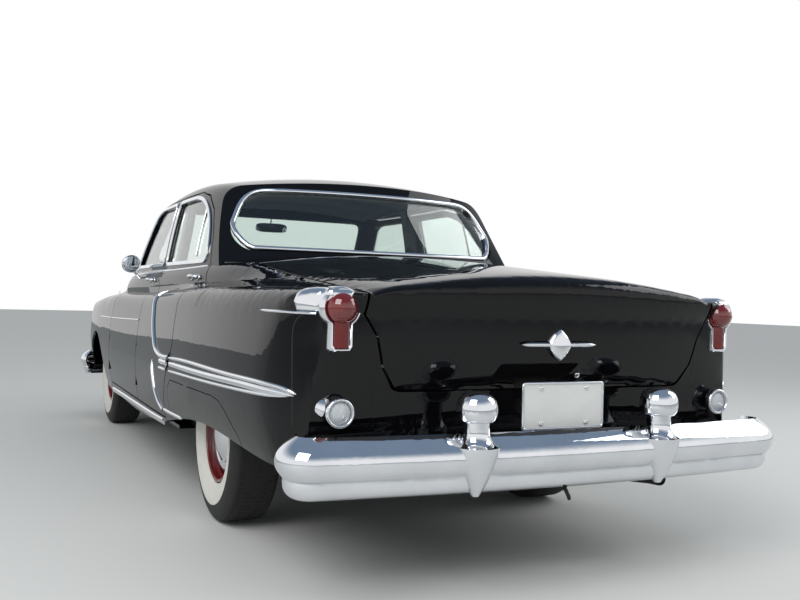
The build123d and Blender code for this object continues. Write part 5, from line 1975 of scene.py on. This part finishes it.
    def moves(self, work: bmesh.types.BMesh, tree: BVHTree) -> dict:
        """Work out how far each outer point moves, evened among its neighbours.

        Args:
            work: The panel's short triangles, the outer ones marked with material 1.
            tree: The faces of all the panels.

        Returns:
            The normal and the distance of each point that moves.
        """
        moves = {}
        for vert in work.verts:
            normal = Vector()
            for face in vert.link_faces:
                if face.material_index:
                    normal += face.normal * face.calc_area()
            if normal.length and self.share(vert.co) > 0:
                normal.normalize()
                moves[vert] = (normal, self.lowered(tree, vert.co, normal))
        for _ in range(self.evenings):
            fresh = {}
            for vert, (normal, move) in moves.items():
                others = [edge.other_vert(vert) for edge in vert.link_edges]
                beside = [moves[other][1] for other in others if other in moves]
                fresh[vert] = (normal, (move + sum(beside) / max(1, len(beside))) / 2 if beside else move)
            moves = fresh
        return moves

    def roll(self, name: str, body: str, tree: BVHTree) -> bpy.types.Object:
        """Make the evened copy of one panel, which stands for its node.

        Args:
            name: The panel's node.
            body: The body that carries it.
            tree: The faces of all the panels.

        Returns:
            The new piece.
        """
        work = bmesh.new()
        work.from_mesh(self.frame["nodes"][name].data)
        bmesh.ops.remove_doubles(work, verts=work.verts[:], dist=self.weld)
        for face in work.faces:
            near = max(self.share(v.co) for v in face.verts) > 0
            face.material_index = int(near and self.outer(tree, face.calc_center_median(), face.normal))
        verts, faces = self.refined(work)
        work.free()
        work = bmesh.new()
        made = [work.verts.new(v) for v in verts]
        for *corners, outer in faces:
            work.faces.new([made[c] for c in corners]).material_index = outer
        work.normal_update()
        moves = self.moves(work, tree)
        for vert, (normal, move) in moves.items():
            vert.co += normal * move
        inner = [v for v in moves if all(f.material_index for f in v.link_faces)
                 and self.share(v.co) > self.least_share]
        for _ in range(self.evenings):
            bmesh.ops.smooth_vert(work, verts=inner, factor=0.5, use_axis_x=True, use_axis_y=True,
                                  use_axis_z=True)
        for face in work.faces:
            face.material_index = 0
            face.smooth = True
        mesh = bpy.data.meshes.new(f"{name}_pressing")
        work.to_mesh(mesh)
        work.free()
        mesh.set_sharp_from_angle(angle=math.radians(self.sharp_degrees))
        piece = carried(placed(mesh.name, mesh), ENAMEL, body)
        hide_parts(name)
        LOG.info("panel %s is moved by up to %.1f mm", name, 1000 * max(abs(m) for _, m in moves.values()))
        return piece

    def build(self) -> dict[str, bpy.types.Object]:
        """Make every rolled panel.

        Returns:
            The new pieces by the nodes that they stand for.
        """
        names = [name for name, _ in self.nodes] + list(self.around)
        tree = Skin(*(self.frame["nodes"][name] for name in names)).tree
        return {name: self.roll(name, body, tree) for name, body in self.nodes}


def carry_over(frame: dict) -> None:
    """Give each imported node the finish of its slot.
    """
    slots = {s["node"]: s["material_slot"] for s in frame["record"]["subparts"]}
    for name, obj in frame["nodes"].items():
        finish = SLOT_FINISHES[slots[name]]
        obj.data.materials.clear()
        obj.data.materials.append(finish.build())
        LOG.info("node %s is %s", name, finish.name)


def main() -> None:
    """Build every part of the scene in order."""
    logging.basicConfig(level=logging.INFO, format="%(name)s: %(message)s")
    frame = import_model()
    Studio().build()
    carry_over(frame)
    panels = RolledPanels(frame).build()
    skins = {name: Skin(panels.get(name, frame["nodes"][name])) for name in (
        "body_shell", "front_door_left", "rear_door_left", "rear_door_glass_left", "front_fender_left",
        "rear_fender_left", "windscreen", "back_window", "trunk_lid", "hood", "tail_panel")}
    for assembly in (WindowTrim(skins), BodyMouldings(skins), TailLamps(skins), TrunkTrim(skins), Wheels(),
                     Seats(), Cabin(skins), Fittings(skins)):
        assembly.build()


if __name__ == "__main__":
    main()
